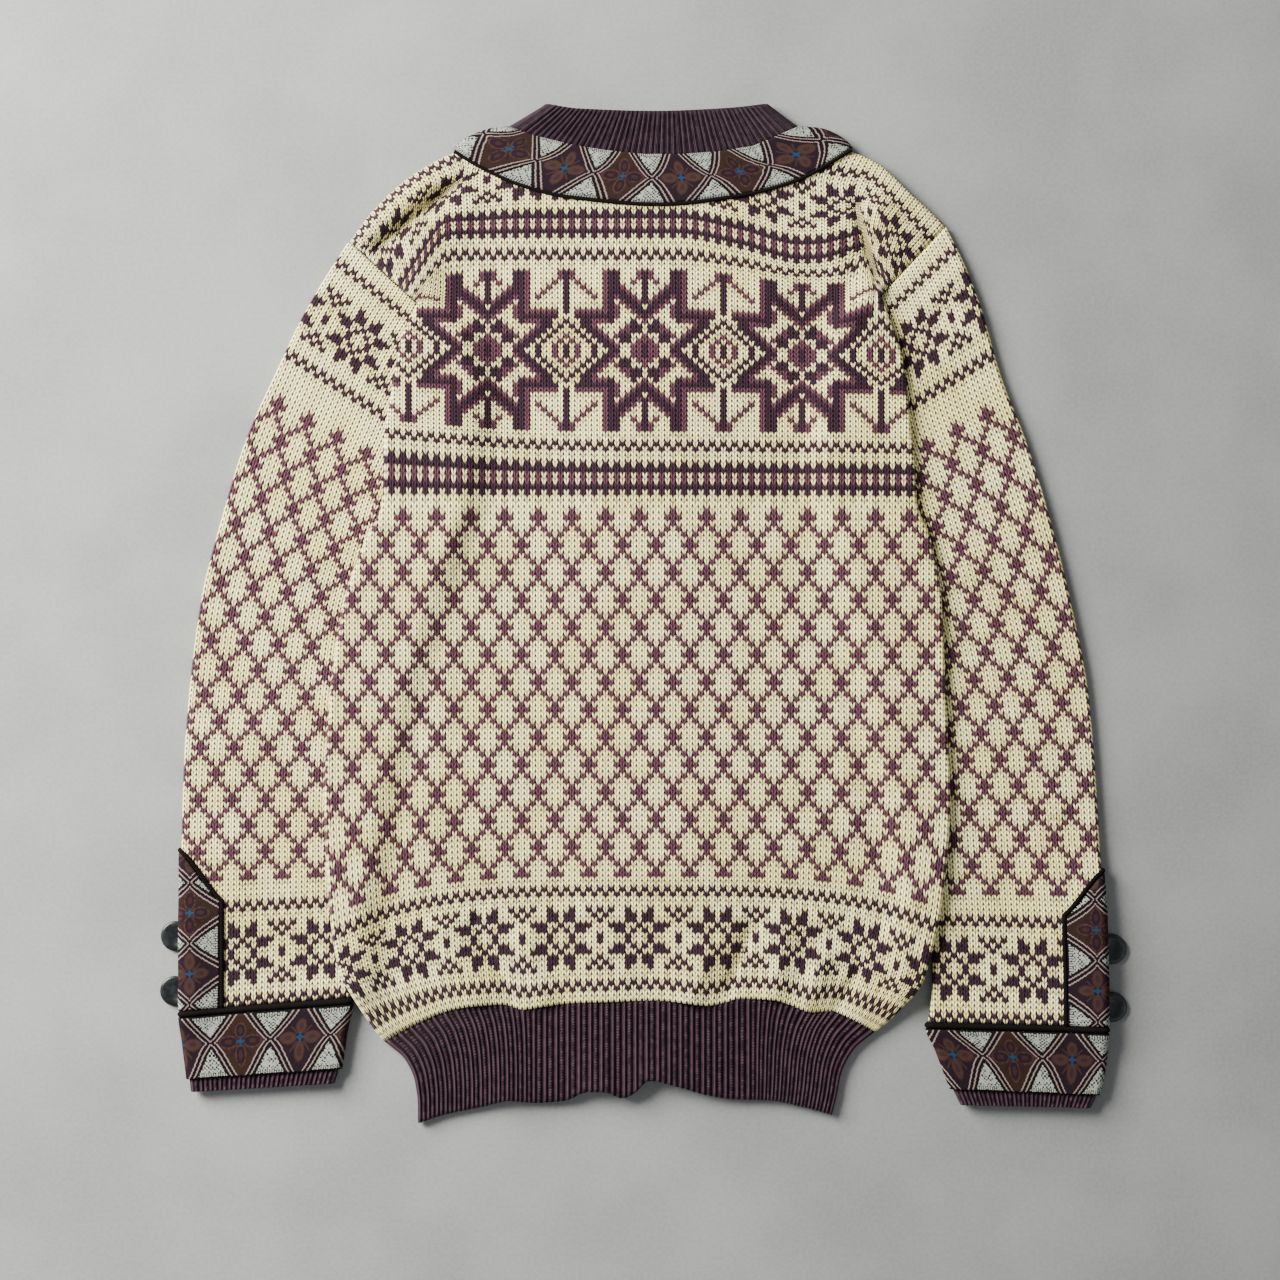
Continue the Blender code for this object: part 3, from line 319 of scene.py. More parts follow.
HEM_SEAM = np.array([
    (-179, -296), (-158, -284), (-134, -274), (-112, -270.5), (-98, -270), (-84, -273.5),
    (-68, -271), (-50, -269), (-28, -268), (8, -267), (28, -268.5), (44, -270.5), (56, -268.5),
    (66, -266), (88, -266.5), (102, -270.5), (116, -275.5), (129, -274.5), (144, -280),
    (160, -289)], float)
TRIM_LOWER = np.array([
    (-132, 320.5), (-113, 309), (-84, 296), (-51, 288), (11, 283), (66, 289), (104, 299),
    (144.5, 321)], float)
NECKLINE = np.array([
    (-95, 336.5), (-75, 329.5), (-50, 323.3), (-27, 319.5), (0, 316.7), (27, 316.8),
    (50, 318.4), (75, 322.2), (108, 336.5)], float)
FRONT_NECKLINE = np.array([
    (-95, 336.5), (-75, 281), (-50, 263), (-27, 256.5), (0, 254), (27, 256.5), (50, 263),
    (75, 279), (108, 336.5)], float)
CLOSING = np.array([(0, 2.7), (27, 2.7), (50, 1.215), (75, 0)], float)


def through(points, x):
    return curve(points[:, 0], points[:, 1], x)


def straight(points, x):
    return np.interp(x, points[:, 0], points[:, 1])


def body(column, mid_y):
    return curve(BODY[:, MID_Y], BODY[:, column], mid_y)


def side_value(left, right, mid_y, x):
    return np.where(x < 0.0, body(left, mid_y), body(right, mid_y))


def row_end(mid_y, x):
    """The end of a row, on x's side; above the underarm it is on the straight armhole seam."""
    end_x, end_y = side_value(LEFT_X, RIGHT_X, mid_y, x), side_value(LEFT_Y, RIGHT_Y, mid_y, x)
    first, last = BODY[BODY[:, MID_Y] == UNDERARM][0], BODY[-1]
    (x1, y1), (x2, y2) = ((np.where(x < 0, row[LEFT_X], row[RIGHT_X]),
                           np.where(x < 0, row[LEFT_Y], row[RIGHT_Y])) for row in (first, last))
    return end_x, np.where(mid_y > UNDERARM, y1 + (end_x - x1) * (y2 - y1) / (x2 - x1), end_y)


LEFT_CORNER, RIGHT_CORNER = 138.0, 147.0   # where the upper rows start to turn down
SOFT_CORNER = 0.03
LEVEL_FROM, LEVEL_OVER = 228.0, 18.0       # rows become level from this height, over this many mm
SHOULDER_REACH, HEM_REACH = 86.0, 30.0     # how far down and up the two edges' own lines reach


def hinge(t):
    """Near 0 below 0 and near t above it, with a soft corner; 1 at 1."""
    return (t + np.sqrt(t * t + SOFT_CORNER)) / (1.0 + math.sqrt(1.0 + SOFT_CORNER))


def plain_row(mid_y, x):
    """Rows bow towards the sides; the upper ones lie level as far as the shoulder's fold."""
    end_x, end_y = row_end(mid_y, x)
    bowed = np.clip(np.abs(x / end_x), 0.0, 1.0) ** body(BEND, mid_y)
    corner = np.where(x < 0.0, LEFT_CORNER, RIGHT_CORNER)
    turned = hinge((np.abs(x) - corner) / (np.abs(end_x) - corner))
    upper = ease((mid_y - LEVEL_FROM) / LEVEL_OVER)
    return mid_y + (end_y - mid_y) * (bowed + (np.clip(turned, 0.0, 1.0) - bowed) * upper)


def row_height(mid_y, x):
    """Where a row of the body lies at x; near the shoulder and the seam it takes their lines."""
    inside = 1.0 - np.clip(np.abs(x / row_end(mid_y, x)[0]), 0.0, 1.0) ** 8
    top, bottom = np.full_like(x, SHOULDER_ROW), np.full_like(x, HEM_ROW)
    near_top = ease(1.0 - (SHOULDER_ROW - mid_y) / SHOULDER_REACH)
    near_seam = np.exp(-((mid_y - HEM_ROW) / HEM_REACH) ** 2)
    y = plain_row(mid_y, x)
    y = y + inside * near_top * (through(SHOULDER, x) - plain_row(top, x))
    return y + inside * near_seam * (through(HEM_SEAM, x) - plain_row(bottom, x))


def placed_height(mid_y, x, neck, start):
    """The same for a panel whose rows close up below its neckline."""
    y = row_height(mid_y, x)
    shoulder = row_height(np.full_like(x, SHOULDER_ROW), x)
    top = straight(neck, x)
    whole = np.where(shoulder > start, shoulder - start, 1.0)
    closed = start + (y - start) * (top - start) / whole
    under = (x > NECK_LEFT) & (x < NECK_RIGHT) & (top < shoulder) & (y > start)
    return np.where(under, closed, y)


middle_row = np.array([0.0])
print("the row at the middle ends at", row_end(middle_row, np.array([-1.0]))[0].round(1))

# %% [markdown]
# Heights come next. The fronts lie on the floor and rise over their own buttons, the back lies
# on them, and both climb over the sleeves at the sides. The soft creases are long narrow bumps
# with round ends, because loose knitting never makes a sharp fold.

# %% Heights of the body
# x1, y1, x2, y2, half width and height of each crease; a trough's height is negative.
CREASES = [
    (-152, 294, -192, 260, 12, 2.6), (-128, 268, -152, 236, 12, 2.4),
    (166, 276, 190, 256, 12, 2.8), (128, 262, 140, 205, 12, 2.6),
    (-140, -222, -118, -262, 12, 2.6), (-82, -225, -72, -262, 12, 2.4),
    (44, -230, 34, -262, 13, 2.2), (98, -218, 92, -262, 11, 2.8),
    (124, -238, 117, -264, 8, 2.2), (-150, -150, -132, 70, 12, 1.6),
    (142, -150, 124, 120, 12, 1.4)]
FINE_CREASES = [
    (-127, 299, -187, 250, 6, -4.2), (-136, 308, -196, 264, 7, 2.4),
    (-118, 287, -172, 240, 8, 1.8), (148, 280, 155, 250, 6, -3.6),
    (155, 250, 163, 222, 6.5, -3.8), (162, 284, 173, 250, 8, 2.2),
    (-117, -213, -90, -270, 4, -2.6), (-137, -218, -113, -267, 10, 1.6),
    (-85, -225, -68, -267, 9, 1.8), (73, -219, 58, -260, 5, -2.8), (39, -239, 32, -267, 9, 1.8),
    (94, -218, 87, -267, 9, 1.6), (148, -248, 133, -272, 5, -2.4),
    (163, -232, 153, -274, 8, 1.8), (122, -239, 111, -270, 8, 1.6),
    (66, 270, 104, 258, 5, -1.2), (-40, -180, -30, -262, 14, 1.0),
    (10, -200, 2, -262, 10, -1.0)]


def from_line(x, y, x1, y1, x2, y2):
    """How far places are from the nearest point of a line, along x and along y."""
    dx, dy = x2 - x1, y2 - y1
    t = np.clip(((x - x1) * dx + (y - y1) * dy) / (dx * dx + dy * dy), 0.0, 1.0)
    return x - x1 - t * dx, y - y1 - t * dy


def ridges(x, y, lines):
    """How far a table of creases lifts each place."""
    total = np.zeros_like(x)
    for *line, half_width, height in lines:
        away = np.hypot(*from_line(x, y, *line))
        total = total + height * np.exp(-(away / half_width) ** 2)
    return total


def crease_height(x, y, lines):
    """The same on the body, where every crease fades out below the neck's trim."""
    return ridges(x, y, lines) * ease((through(TRIM_LOWER, x) - 9.0 - y) / 16.0)


CLOSING_FADE, CLOSING_FADE_OVER = 222.0, 95.0  # from this height the closing lifts less
# The trim's lift: half its width, how far it stays level round the trim, and its slope.
NECK_HALF, NECK_LEVEL, NECK_SLOPE = 150.0, 38.0, 60.0


def panel_under(mid_y, x, y):
    """Height of the fronts' underside."""
    fading = ease((y - CLOSING_FADE) / CLOSING_FADE_OVER)
    closing = straight(CLOSING, np.abs(x)) * (1.0 - fading)
    below_trim = np.clip(straight(FRONT_NECKLINE, x) - TRIM_WIDTH - y, 0.0, None)
    beside_trim = np.clip(np.abs(x) - NECK_HALF, 0.0, None)
    neck = NECK_RISE * (1.0 - ease((below_trim + beside_trim - NECK_LEVEL) / NECK_SLOPE))
    inward = np.abs(row_end(mid_y, x)[0]) - np.abs(x)
    over_sleeve = 1.0 - ease((inward - body(SHELF, mid_y)) / body(SLOPE, mid_y))
    return np.maximum(closing, neck) + LIFT * body(LIFTED, mid_y) * over_sleeve


def side_distance(mid_y, x):
    """How far a place is from the body's sides and shoulders; a shoulder rolls a little wider."""
    from_side = np.abs(row_end(mid_y, x)[0]) - np.abs(x)
    from_shoulder = row_height(np.full_like(x, SHOULDER_ROW), x) - row_height(mid_y, x)
    at_neck = (x > NECK_LEFT) & (x < NECK_RIGHT)
    return np.where(at_neck, from_side, np.minimum(from_side, from_shoulder * 0.75))


def waver(x, y):
    """Slow unevenness of hand-laid knitting, in millimetres."""
    return (0.34 * np.sin(x / 31.0 + 1.3 * np.sin(y / 47.0))
            + 0.30 * np.sin(y / 26.0 + 1.1 * np.sin(x / 39.0))
            + 0.16 * np.sin(x / 11.0 + y / 17.0))


EDGE_HEIGHT = 0.16         # share of its thickness that the cloth keeps at its very edge


def wall_share(rounded):
    return EDGE_HEIGHT + (1.0 - EDGE_HEIGHT) * rounded


def back_surface(mid_y, x):
    """The y, underside and top of the back, how far in a place is, and 0 under the trim."""
    y = placed_height(mid_y, x, NECKLINE, through(TRIM_LOWER, x))
    inward = side_distance(mid_y, x)
    clear = ease(inward / 8.0)
    level = panel_under(mid_y, x, y) + LAYER
    under = level + crease_height(x, y, CREASES) * clear
    top = under + CLOTH * wall_share(round_edge(inward, FOLD))
    bare = ease((through(TRIM_LOWER, x) - 4.0 - y) / 8.0)
    fine = (crease_height(x, y, FINE_CREASES) + waver(x, y) * bare) * clear
    return y, np.maximum(level, under + np.minimum(fine, 0.0)), top + fine, inward, bare


# x1, y1, x2, y2, half width and how far a fold draws the cloth in from each side.
TUCKS = [
    (-127, 299, -187, 250, 13, 6.0), (148, 280, 155, 250, 11, 4.5),
    (155, 250, 163, 224, 11, 4.5)]


def tucked(x, y, inward):
    """Plan places after the folds have swallowed some rows."""
    clear = ease(inward / 10.0)
    for *line, half_width, amount in TUCKS:
        away_x, away_y = from_line(x, y, *line)
        near = np.exp(-(np.hypot(away_x, away_y) / half_width) ** 2)
        pull = amount / half_width * near * clear
        x, y = x - away_x * pull, y - away_y * pull
    return x, y


print("ridges", len(CREASES), "and finer ones", len(FINE_CREASES))

# %% [markdown]
# The pattern is knitted with two yarns a row, so it can be charted stitch by stitch on squared
# paper. These are old shared motifs: zigzag and striped rows, a small flower, a diamond lattice
# and an eight-point star. A letter stands for a stitch: # is plum, o is rose and a point is
# cream.

# %% Charts of the pattern
PITCH = 3.87               # width of a stitch, in millimetres; a row is about 3.5 high
FLOWER = [
    "..#..#.#.#..#.", ".##...#.#...##", ".##....#....##", "#..###...###..", ".#.##.....##.#",
    "..#....#....#.", "..#....#....#.", ".#.##.....##.#", "#..###...###..", ".##....#....##",
    ".##...#.#...##", "..#..#.#.#..#."]
FLOWER_STARTS = {"flower": 7, "hem flower": 1}
STAR_HALF = 14             # stitches from the middle of a star to the middle between two
LATTICE = [
    "oo...o", "o.....", ".o...o", "..o.o.", "...o..", "..ooo.", "...o..", "..o.o.", ".o...o",
    "o....."]
STRIPE = [".#", "##", ".o", ".o", "##", ".#"]
STAR = [
    "#oo..##..#..o.#", "#oo..o##.#..o.#", "oo.##.o##.#..o.", "o..##o.o##.#..o",
    ".##oo...o##.#..", ".##o.....o##.#.", "o.#...#ooo##..#", "#o...o#######..",
    "##o..o#oooooo.#", ".##o.o#o......#", "#o##o.#o......#", "#.o##o#o.o....#",
    "#..o###o..o...#", "#...o##o...o..#", "#.o..##o....o.#", "#o...##o.....o#",
    "#o...##o.....o#"]


def stitch(column, row, plan):
    """The yarn of one stitch: 0 cream, 1 plum, 2 rose."""
    start, kind = max((entry for entry in plan if entry[0] <= row), default=(0, "plain"))
    n = row - start
    if kind == "zigzag":
        letter = "#" if (column + n) % 2 else "."
    elif kind in FLOWER_STARTS:
        letter = FLOWER[n % len(FLOWER)][(column + FLOWER_STARTS[kind]) % len(FLOWER[0])]
    elif kind == "lattice":
        letter = LATTICE[n % len(LATTICE)][(column - 2) % len(LATTICE[0])]
    elif kind == "stripe":
        letter = STRIPE[n % len(STRIPE)][column % len(STRIPE[0])]
    elif kind == "star":
        half = len(STAR) - 1
        away = abs((column + STAR_HALF) % (2 * STAR_HALF) - STAR_HALF)
        letter = STAR[min(abs(n - half), half)][away]
    else:
        letter = "."
    return ".#o".index(letter)


BODY_PLAN = [
    (0, "plain"), (2, "zigzag"), (4, "plain"), (6, "hem flower"), (18, "plain"), (20, "zigzag"),
    (22, "plain"), (24, "lattice"), (91, "plain"), (93, "stripe"), (99, "plain"),
    (101, "zigzag"), (103, "plain"), (105, "star"), (138, "plain"), (140, "zigzag"),
    (142, "plain"), (144, "stripe"), (150, "plain"), (152, "flower"), (164, "plain"),
    (166, "zigzag"), (168, "plain")]
SLEEVE_PLAN = [
    (0, "zigzag"), (2, "plain"), (4, "flower"), (16, "plain"), (18, "zigzag"), (20, "plain"),
    (24, "lattice"), (111, "plain"), (117, "zigzag"), (119, "plain"), (122, "flower"),
    (134, "plain"), (138, "zigzag"), (140, "plain")]


def chart(plan, first, last, rows):
    """Yarns of a whole piece: one row of numbers for each row of stitches."""
    return np.array([[stitch(column, row, plan) for column in range(first, last + 1)]
                     for row in range(rows)])


print("a star is", 2 * len(STAR) - 1, "rows high; the flower", len(FLOWER))

# %% [markdown]
# A stitch is a small V. Moving the middle of each column of faces down by most of a row turns a
# plain grid into rows of V's, and raising the middle of each leg rounds the yarn. The same
# helper lays every cloth: it makes a grid with an operator, moves its points, notes each face's
# yarn and closes the ends.

# %% One helper lays every cloth
STITCH_DROP = 0.78         # how far a V reaches down, in rows
LEG_RISE, LEG_DIP = 0.34, 0.42
STEP = 0.25                # from one column of points to the next, in stitches
SAME_PLACE = 0.00001       # points that are nearer than this, in metres, become one


def close_ends(bm, corner_at, rows, fine, back_of):
    """Small faces between the end rows of the fine face and of the plain one, whose columns
    lie at the fine columns back_of."""
    for j in (0, rows):
        line = [bm.verts[corner_at[j, i]] for i in range(fine + len(back_of) + 1)]
        stops = [fine - 1, *back_of, 0]
        for k in range(len(stops) - 1):
            upper = line[stops[k + 1]:stops[k] + 1][::-1]
            lower = [line[fine + k]] if k < len(back_of) else []
            lower += [line[fine + k - 1]] if k > 0 else []
            if len(set(upper + lower)) > 2:
                bm.faces.new(upper + lower)


def lay_cloth(name, places, pattern, yarns=None, back_of=None):
    """A cloth from places[row, column] in millimetres; pattern holds the UV of each point."""
    rows, columns = places.shape[0] - 1, places.shape[1] - 1
    bm = bmesh.new()
    bm.loops.layers.uv.new("OFBake")
    bmesh.ops.create_grid(bm, x_segments=columns, y_segments=rows, size=0.5, calc_uvs=True)
    mesh = bpy.data.meshes.new(name)
    bm.to_mesh(mesh)
    bm.free()
    at = np.empty(len(mesh.vertices) * 3, np.float32)
    mesh.vertices.foreach_get("co", at)
    at = at.reshape(-1, 3)
    i = np.rint((at[:, 0] + 0.5) * columns).astype(int)
    j = np.rint((at[:, 1] + 0.5) * rows).astype(int)
    mesh.vertices.foreach_set("co", (places[j, i] * MM).astype(np.float32).ravel())
    corner = np.empty(len(mesh.loops), np.int32)
    mesh.loops.foreach_get("vertex_index", corner)
    stitches = mesh.uv_layers.new(name="stitches")
    stitches.uv.foreach_set("vector", pattern[j[corner], i[corner]].astype(np.float32).ravel())
    if yarns is not None:
        shade = mesh.attributes.new("yarn", "FLOAT_COLOR", "CORNER")
        face_i = i[corner].reshape(-1, 4).min(axis=1).repeat(4)
        face_j = j[corner].reshape(-1, 4).min(axis=1).repeat(4)
        shade.data.foreach_set("color", yarns[face_j, face_i].astype(np.float32).ravel())
    bm = bmesh.new()
    bm.from_mesh(mesh)
    if back_of is not None:
        bm.verts.ensure_lookup_table()
        corner_at = np.zeros((rows + 1, columns + 1), int)
        corner_at[j, i] = np.arange(len(i))
        close_ends(bm, corner_at, rows, columns - len(back_of), list(back_of))
    bmesh.ops.remove_doubles(bm, verts=bm.verts, dist=SAME_PLACE)
    bmesh.ops.dissolve_degenerate(bm, dist=SAME_PLACE, edges=bm.edges)
    bmesh.ops.holes_fill(bm, edges=[e for e in bm.edges if e.is_boundary], sides=0)
    bmesh.ops.recalc_face_normals(bm, faces=bm.faces)
    bm.to_mesh(mesh)
    bm.free()
    mesh.shade_smooth()
    piece = into_scene(name, mesh)
    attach(piece, "root")
    print(name, "faces", len(mesh.polygons))
    return piece


def yarn_table(columns, rows, plan, seed, shift=0):
    """Colours for the faces between stitch columns and rows: plum, rose and a change of shade.
    The last channel says how much dark wool lies beside a face, since it shows in the gaps."""
    middle = (columns[1:] + columns[:-1]) / 2
    where = np.floor(middle + 0.5).astype(int)
    first, count = where.min(), int(rows[-1])
    charted = chart(plan, first - shift, where.max() - shift, count)
    row = np.floor((rows[1:] + rows[:-1]) / 2).astype(int).clip(0, count - 1)
    picked = charted[row][:, where - first]
    change = np.random.default_rng(seed).random(charted.shape)[row][:, where - first]
    outer = np.where(np.abs(middle - where) > STEP, np.sign(middle - where), 0).astype(int)
    beside = charted[row][:, (where + outer - first).clip(0, charted.shape[1] - 1)] > 0
    over = charted[(row + 1).clip(0, count - 1)][:, where - first] > 0
    below = charted[(row - 1).clip(0, count - 1)][:, where - first] > 0
    dark = np.maximum(beside * 1.0, np.maximum(over, below) * 0.7)
    inside = np.abs(np.diff(columns)) > 1.0
    picked[:, inside], dark[:, inside] = 0, 0.6
    return np.stack([picked == 1, picked == 2, change, dark], axis=-1).astype(float)


def stitch_shape(columns):
    """How far each column of points drops, in rows, and how high it stands, in millimetres."""
    f = np.abs(columns - np.round(columns))
    on_leg = np.abs(f - STEP) < 0.01
    return STITCH_DROP * (2.0 * f - 0.5), np.where(on_leg, LEG_RISE, -LEG_DIP * (0.3 + 1.4 * f))


print("a V drops", STITCH_DROP, "rows")

# %% [markdown]
# The back has a hundred and eleven stitches across. Its last stitches roll round the sides to a
# plain underside, which only has to close the cloth. Towards the hem the rib draws the stitches
# together, so a column's place is a little less than its number times the pitch.

# %% The back
TOP_ROW = 172.0
LEFT_STITCHES, RIGHT_STITCHES = 57.5, 55.0     # from the middle column to the sides
MIDDLE_X = 0.9             # where the middle column lies
WIDEST_LEFT, WIDEST_RIGHT, WIDEST_ROW = -220.6, 211.4, -129.0
# A row of stitches, and the height at its middle.
ROW_MARKS = np.array([
    (0.0, -269.0), (2.5, -259.0), (11.5, -225.4), (20.5, -193.1), (24, -181.5), (89, 64.2),
    (93, 81.4), (98, 101.1), (101.5, 113.5), (121, 179.7), (140.5, 245.3), (144, 258.8),
    (149.5, 277.6)], float)

# How far the upper rows sag beside the right shoulder's fold, by height and across.
SAG_ROWS = np.array([
    (150, 0.0), (200, 4.0), (235, 8.5), (248, 12.6), (262, 18.0), (300, 18.0), (318, 12.0),
    (336, 0.0)])
SAG_ACROSS = np.array([
    (28, 0.0), (40, 0.10), (61, 0.36), (72, 0.50), (83, 0.70), (94, 0.88), (107, 1.0),
    (121, 0.98), (138, 0.72), (153, 0.0)])


def row_to_mid(row, x):
    """The height at the middle of a row; the left shoulder turns over after fewer rows."""
    last_row, last_mid = ROW_MARKS[-1]
    rows_left = 19.0 + 3.4 * ease((x + 100.0) / 200.0)
    above = last_mid + (row - last_row) * (SHOULDER_ROW - last_mid) / rows_left
    mid = np.where(row > last_row, above, straight(ROW_MARKS, row))
    mid = np.clip(mid, HEM_ROW, SHOULDER_ROW)
    return mid - through(SAG_ROWS, mid) * through(SAG_ACROSS, x)


ARC_ROWS = np.linspace(HEM_ROW, SHOULDER_ROW, 243)
ARC_STEP = ARC_ROWS[1] - ARC_ROWS[0]
ARC_LENGTH = 280           # how many millimetres of knitting the table below holds


def arc_places(side):
    """The x at each millimetre of knitting along every row, from the middle to one end."""
    mid, share = np.meshgrid(ARC_ROWS, np.linspace(0.0, 1.0, 301), indexing="ij")
    x = np.abs(row_end(mid, mid * 0.0 + side)[0]) * share * side
    y = row_height(mid, x)
    length = np.hypot(np.diff(x, axis=1), np.diff(y, axis=1)).cumsum(axis=1)
    length = np.concatenate([length[:, :1] * 0.0, length], axis=1)
    reach = (LEFT_STITCHES if side < 0 else RIGHT_STITCHES) * PITCH - 2.0
    length = length * np.minimum(1.0, reach / length[:, -1:])
    return np.array([np.interp(np.arange(ARC_LENGTH), *row) for row in zip(length, x)])


ARCS = {side: arc_places(side) for side in (-1.0, 1.0)}


def along_row(length, mid_y):
    """The x at a signed length along a row."""
    k = np.clip((mid_y - HEM_ROW) / ARC_STEP, 0.0, len(ARC_ROWS) - 1.001)
    j = np.clip(np.abs(length), 0.0, ARC_LENGTH - 1.001)
    k0, j0 = k.astype(int), j.astype(int)
    value = {}
    for side, table in ARCS.items():
        lower = table[k0, j0] * (1 - (j - j0)) + table[k0, j0 + 1] * (j - j0)
        upper = table[k0 + 1, j0] * (1 - (j - j0)) + table[k0 + 1, j0 + 1] * (j - j0)
        value[side] = lower + (upper - lower) * (k - k0)
    return np.where(length < 0.0, value[-1.0], value[1.0])


def column_to_x(column, mid_y):
    """The x of a column of stitches: drawn together near the hem, and cut off at the sides."""
    widest = np.where(column < 0, WIDEST_LEFT, WIDEST_RIGHT)
    end = row_end(mid_y, column)[0]
    drawn = np.where(mid_y < WIDEST_ROW, 1.0 - end / widest, 0.0)
    reach = np.abs(column) * PITCH / np.abs(widest)
    x = MIDDLE_X + column * PITCH * (1.0 - drawn * np.clip(reach, 0.0, 1.0) ** 2)
    x = x + (along_row(MIDDLE_X + column * PITCH, mid_y) - x) * ease((mid_y - 200.0) / 30.0)
    return np.clip(x, -np.abs(row_end(mid_y, x * 0 - 1)[0]), np.abs(row_end(mid_y, x * 0 + 1)[0]))


def there_and_back(first, second):
    """Columns of points that go along a face, back along another and end where they began."""
    return np.concatenate([first, second, first[:, :1]], axis=1)


def body_panel(name, columns, under_columns, surface, plan, seed):
    """A panel of the body: its fine face in stitches, then a plain face back to the start."""
    rows = np.arange(0.0, TOP_ROW + 1.0)
    u, v = np.meshgrid(columns, rows)
    drop, rise = stitch_shape(u)
    base = row_to_mid(v, u * PITCH)
    x = column_to_x(u, base)
    near = ease((np.abs(row_end(base, x)[0]) - np.abs(x) - 0.5) / 4.0)
    mid_y = row_to_mid(np.clip(v + drop * near, 0.0, TOP_ROW), x)
    x = column_to_x(u, mid_y)
    face = surface(mid_y, x, rise)
    u2, v2 = np.meshgrid(under_columns, rows)
    mid2 = row_to_mid(v2, u2 * PITCH)
    x2 = column_to_x(u2, mid2)
    other = surface(mid2, x2, None)
    places = there_and_back(face, other)
    pattern = np.stack([there_and_back(u, u2), there_and_back(v, v2)], axis=-1)
    all_columns = np.concatenate([columns, under_columns, columns[:1]])
    back_of = np.rint((under_columns - columns[0]) / STEP).astype(int)
    return lay_cloth(name, places, pattern, yarn_table(all_columns, rows, plan, seed), back_of)


def off_edge(inward):
    """0 at the edge of a cloth, where the stitches lie flat, and 1 a little further in."""
    return ease((inward - 0.4) / 3.0)


def back_face(mid_y, x, rise):
    y, under, top, inward, bare = back_surface(mid_y, x)
    x, y = tucked(x, y, inward)
    if rise is None:
        return np.stack([x, y, under], axis=-1)
    return np.stack([x, y, top + rise * bare * off_edge(inward)], axis=-1)


back = body_panel("knit_back", np.arange(-LEFT_STITCHES, RIGHT_STITCHES + 0.01, STEP),
                  np.arange(54.0, -57.0, -2.0), back_face, BODY_PLAN, 3)
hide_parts("back")

# %% [markdown]
# The two fronts are underneath and show only from below. They are the same knitting, half as
# wide, with their fine face down, and they meet at the closing.

# %% The fronts
NECK_CLOSES = 70.0         # the rows start to close up this far below the front neckline


def front_face(mid_y, x, rise, side):
    column_x = x
    x = np.minimum(x, -SEAM / 2) if side == "left" else np.maximum(x, SEAM / 2)
    start = straight(FRONT_NECKLINE, column_x) - NECK_CLOSES
    y = placed_height(mid_y, column_x, FRONT_NECKLINE, start)
    under = panel_under(mid_y, column_x, y)
    inward = side_distance(mid_y, column_x)
    if rise is None:
        return np.stack([x, y, under + CLOTH], axis=-1)
    rounded = wall_share(round_edge(inward, FOLD))
    relief = np.clip(LEG_RISE - rise, 0.0, None) * off_edge(inward)
    return np.stack([x, y, under + CLOTH * (1.0 - rounded) + relief], axis=-1)


FRONT_COLUMNS = {
    "left": (np.arange(-LEFT_STITCHES, -0.24, STEP), np.arange(-1.0, -57.0, -2.0)),
    "right": (np.arange(0.0, RIGHT_STITCHES + 0.01, STEP), np.arange(54.0, 0.5, -2.0))}
fronts = {}
for side, (fine, plain) in FRONT_COLUMNS.items():
    fronts[side] = body_panel("knit_front_" + side, fine, plain,
                              lambda mid_y, x, rise: front_face(mid_y, x, rise, side),
                              BODY_PLAN, 5)
    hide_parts("front_" + side)

# %% [markdown]
# A sleeve is a flattened tube. Its table gives sections from the armhole down to the wrist: the
# outer and the inner end, and how high its underside lies. Stitches are counted from the outer
# fold, and the rows run up from the cuff, as it would be knitted.

# %% The sleeves' tables
TUBE, SLEEVE_WALL, PLACKET_HALF = 6.4, 2.7, 28.0
SLEEVES = {
    "left": np.array([
        (-203.9, 257.2, -156.3, 213.6, 0, 0, 0), (-219, 234, -141, 176, 0, 0, 0),
        (-236, 205, -132, 137, 0, 0, 0), (-254, 167, -133, 92, 0, 0, 0),
        (-275, 120, -142, 62, 0, 0, 0), (-292, 65, -153, 29, 0, 0, 0),
        (-306, 9, -167, -6, 0, 0, 0), (-314, -53, -179, -57, 0, 0, 0),
        (-318, -108, -189, -109, 0, 0, 0), (-319, -148, -201, -147, 0, 0.8, 1.3),
        (-319, -164, -205, -162, 0, 2.0, 2.8), (-319, -202, -208, -197, 0.1, 2.7, 4.2),
        (-319, -211, -208, -206, 0.2, 2.7, 5.5), (-319, -250, -206, -242, 0.9, 2.7, 5.5),
        (-319, -276, -202, -267, 2.5, 2.7, 5.5), (-317, -296, -206, -288, 2.4, 2.4, 2.6),
        (-314, -321, -210, -314, 1.9, 1.9, 1.9),
        (-313, -330, -213, -324, 1.9, 1.9, 1.9)], float),
    "right": np.array([
        (208.8, 267.3, 163.3, 218.7, 0, 0, 0), (221, 243, 150, 181, 0, 0, 0),
        (233, 212, 138, 142, 0, 0, 0), (247, 164, 140, 102, 0, 0, 0),
        (264, 120, 148, 68, 0, 0, 0), (281, 65, 155, 33, 0, 0, 0), (295, 9, 165, -6, 0, 0, 0),
        (307, -53, 171, -60, 0, 0, 0), (312, -108, 180, -111, 0, 0, 0),
        (315, -162, 194, -163, 0, 0.8, 1.3), (316, -178, 196, -178, 0, 2.0, 2.8),
        (318, -211, 198, -209, 0.1, 2.7, 4.2), (318, -220, 199, -217, 0.2, 2.7, 5.5),
        (319, -262, 199, -258, 0.9, 2.7, 5.5), (319, -287, 196, -284, 2.5, 2.7, 5.5),
        (318, -307, 203, -302, 2.4, 2.4, 2.6), (313, -332, 213, -328, 1.9, 1.9, 1.9),
        (309, -341, 218, -339, 1.9, 1.9, 1.9)], float)}
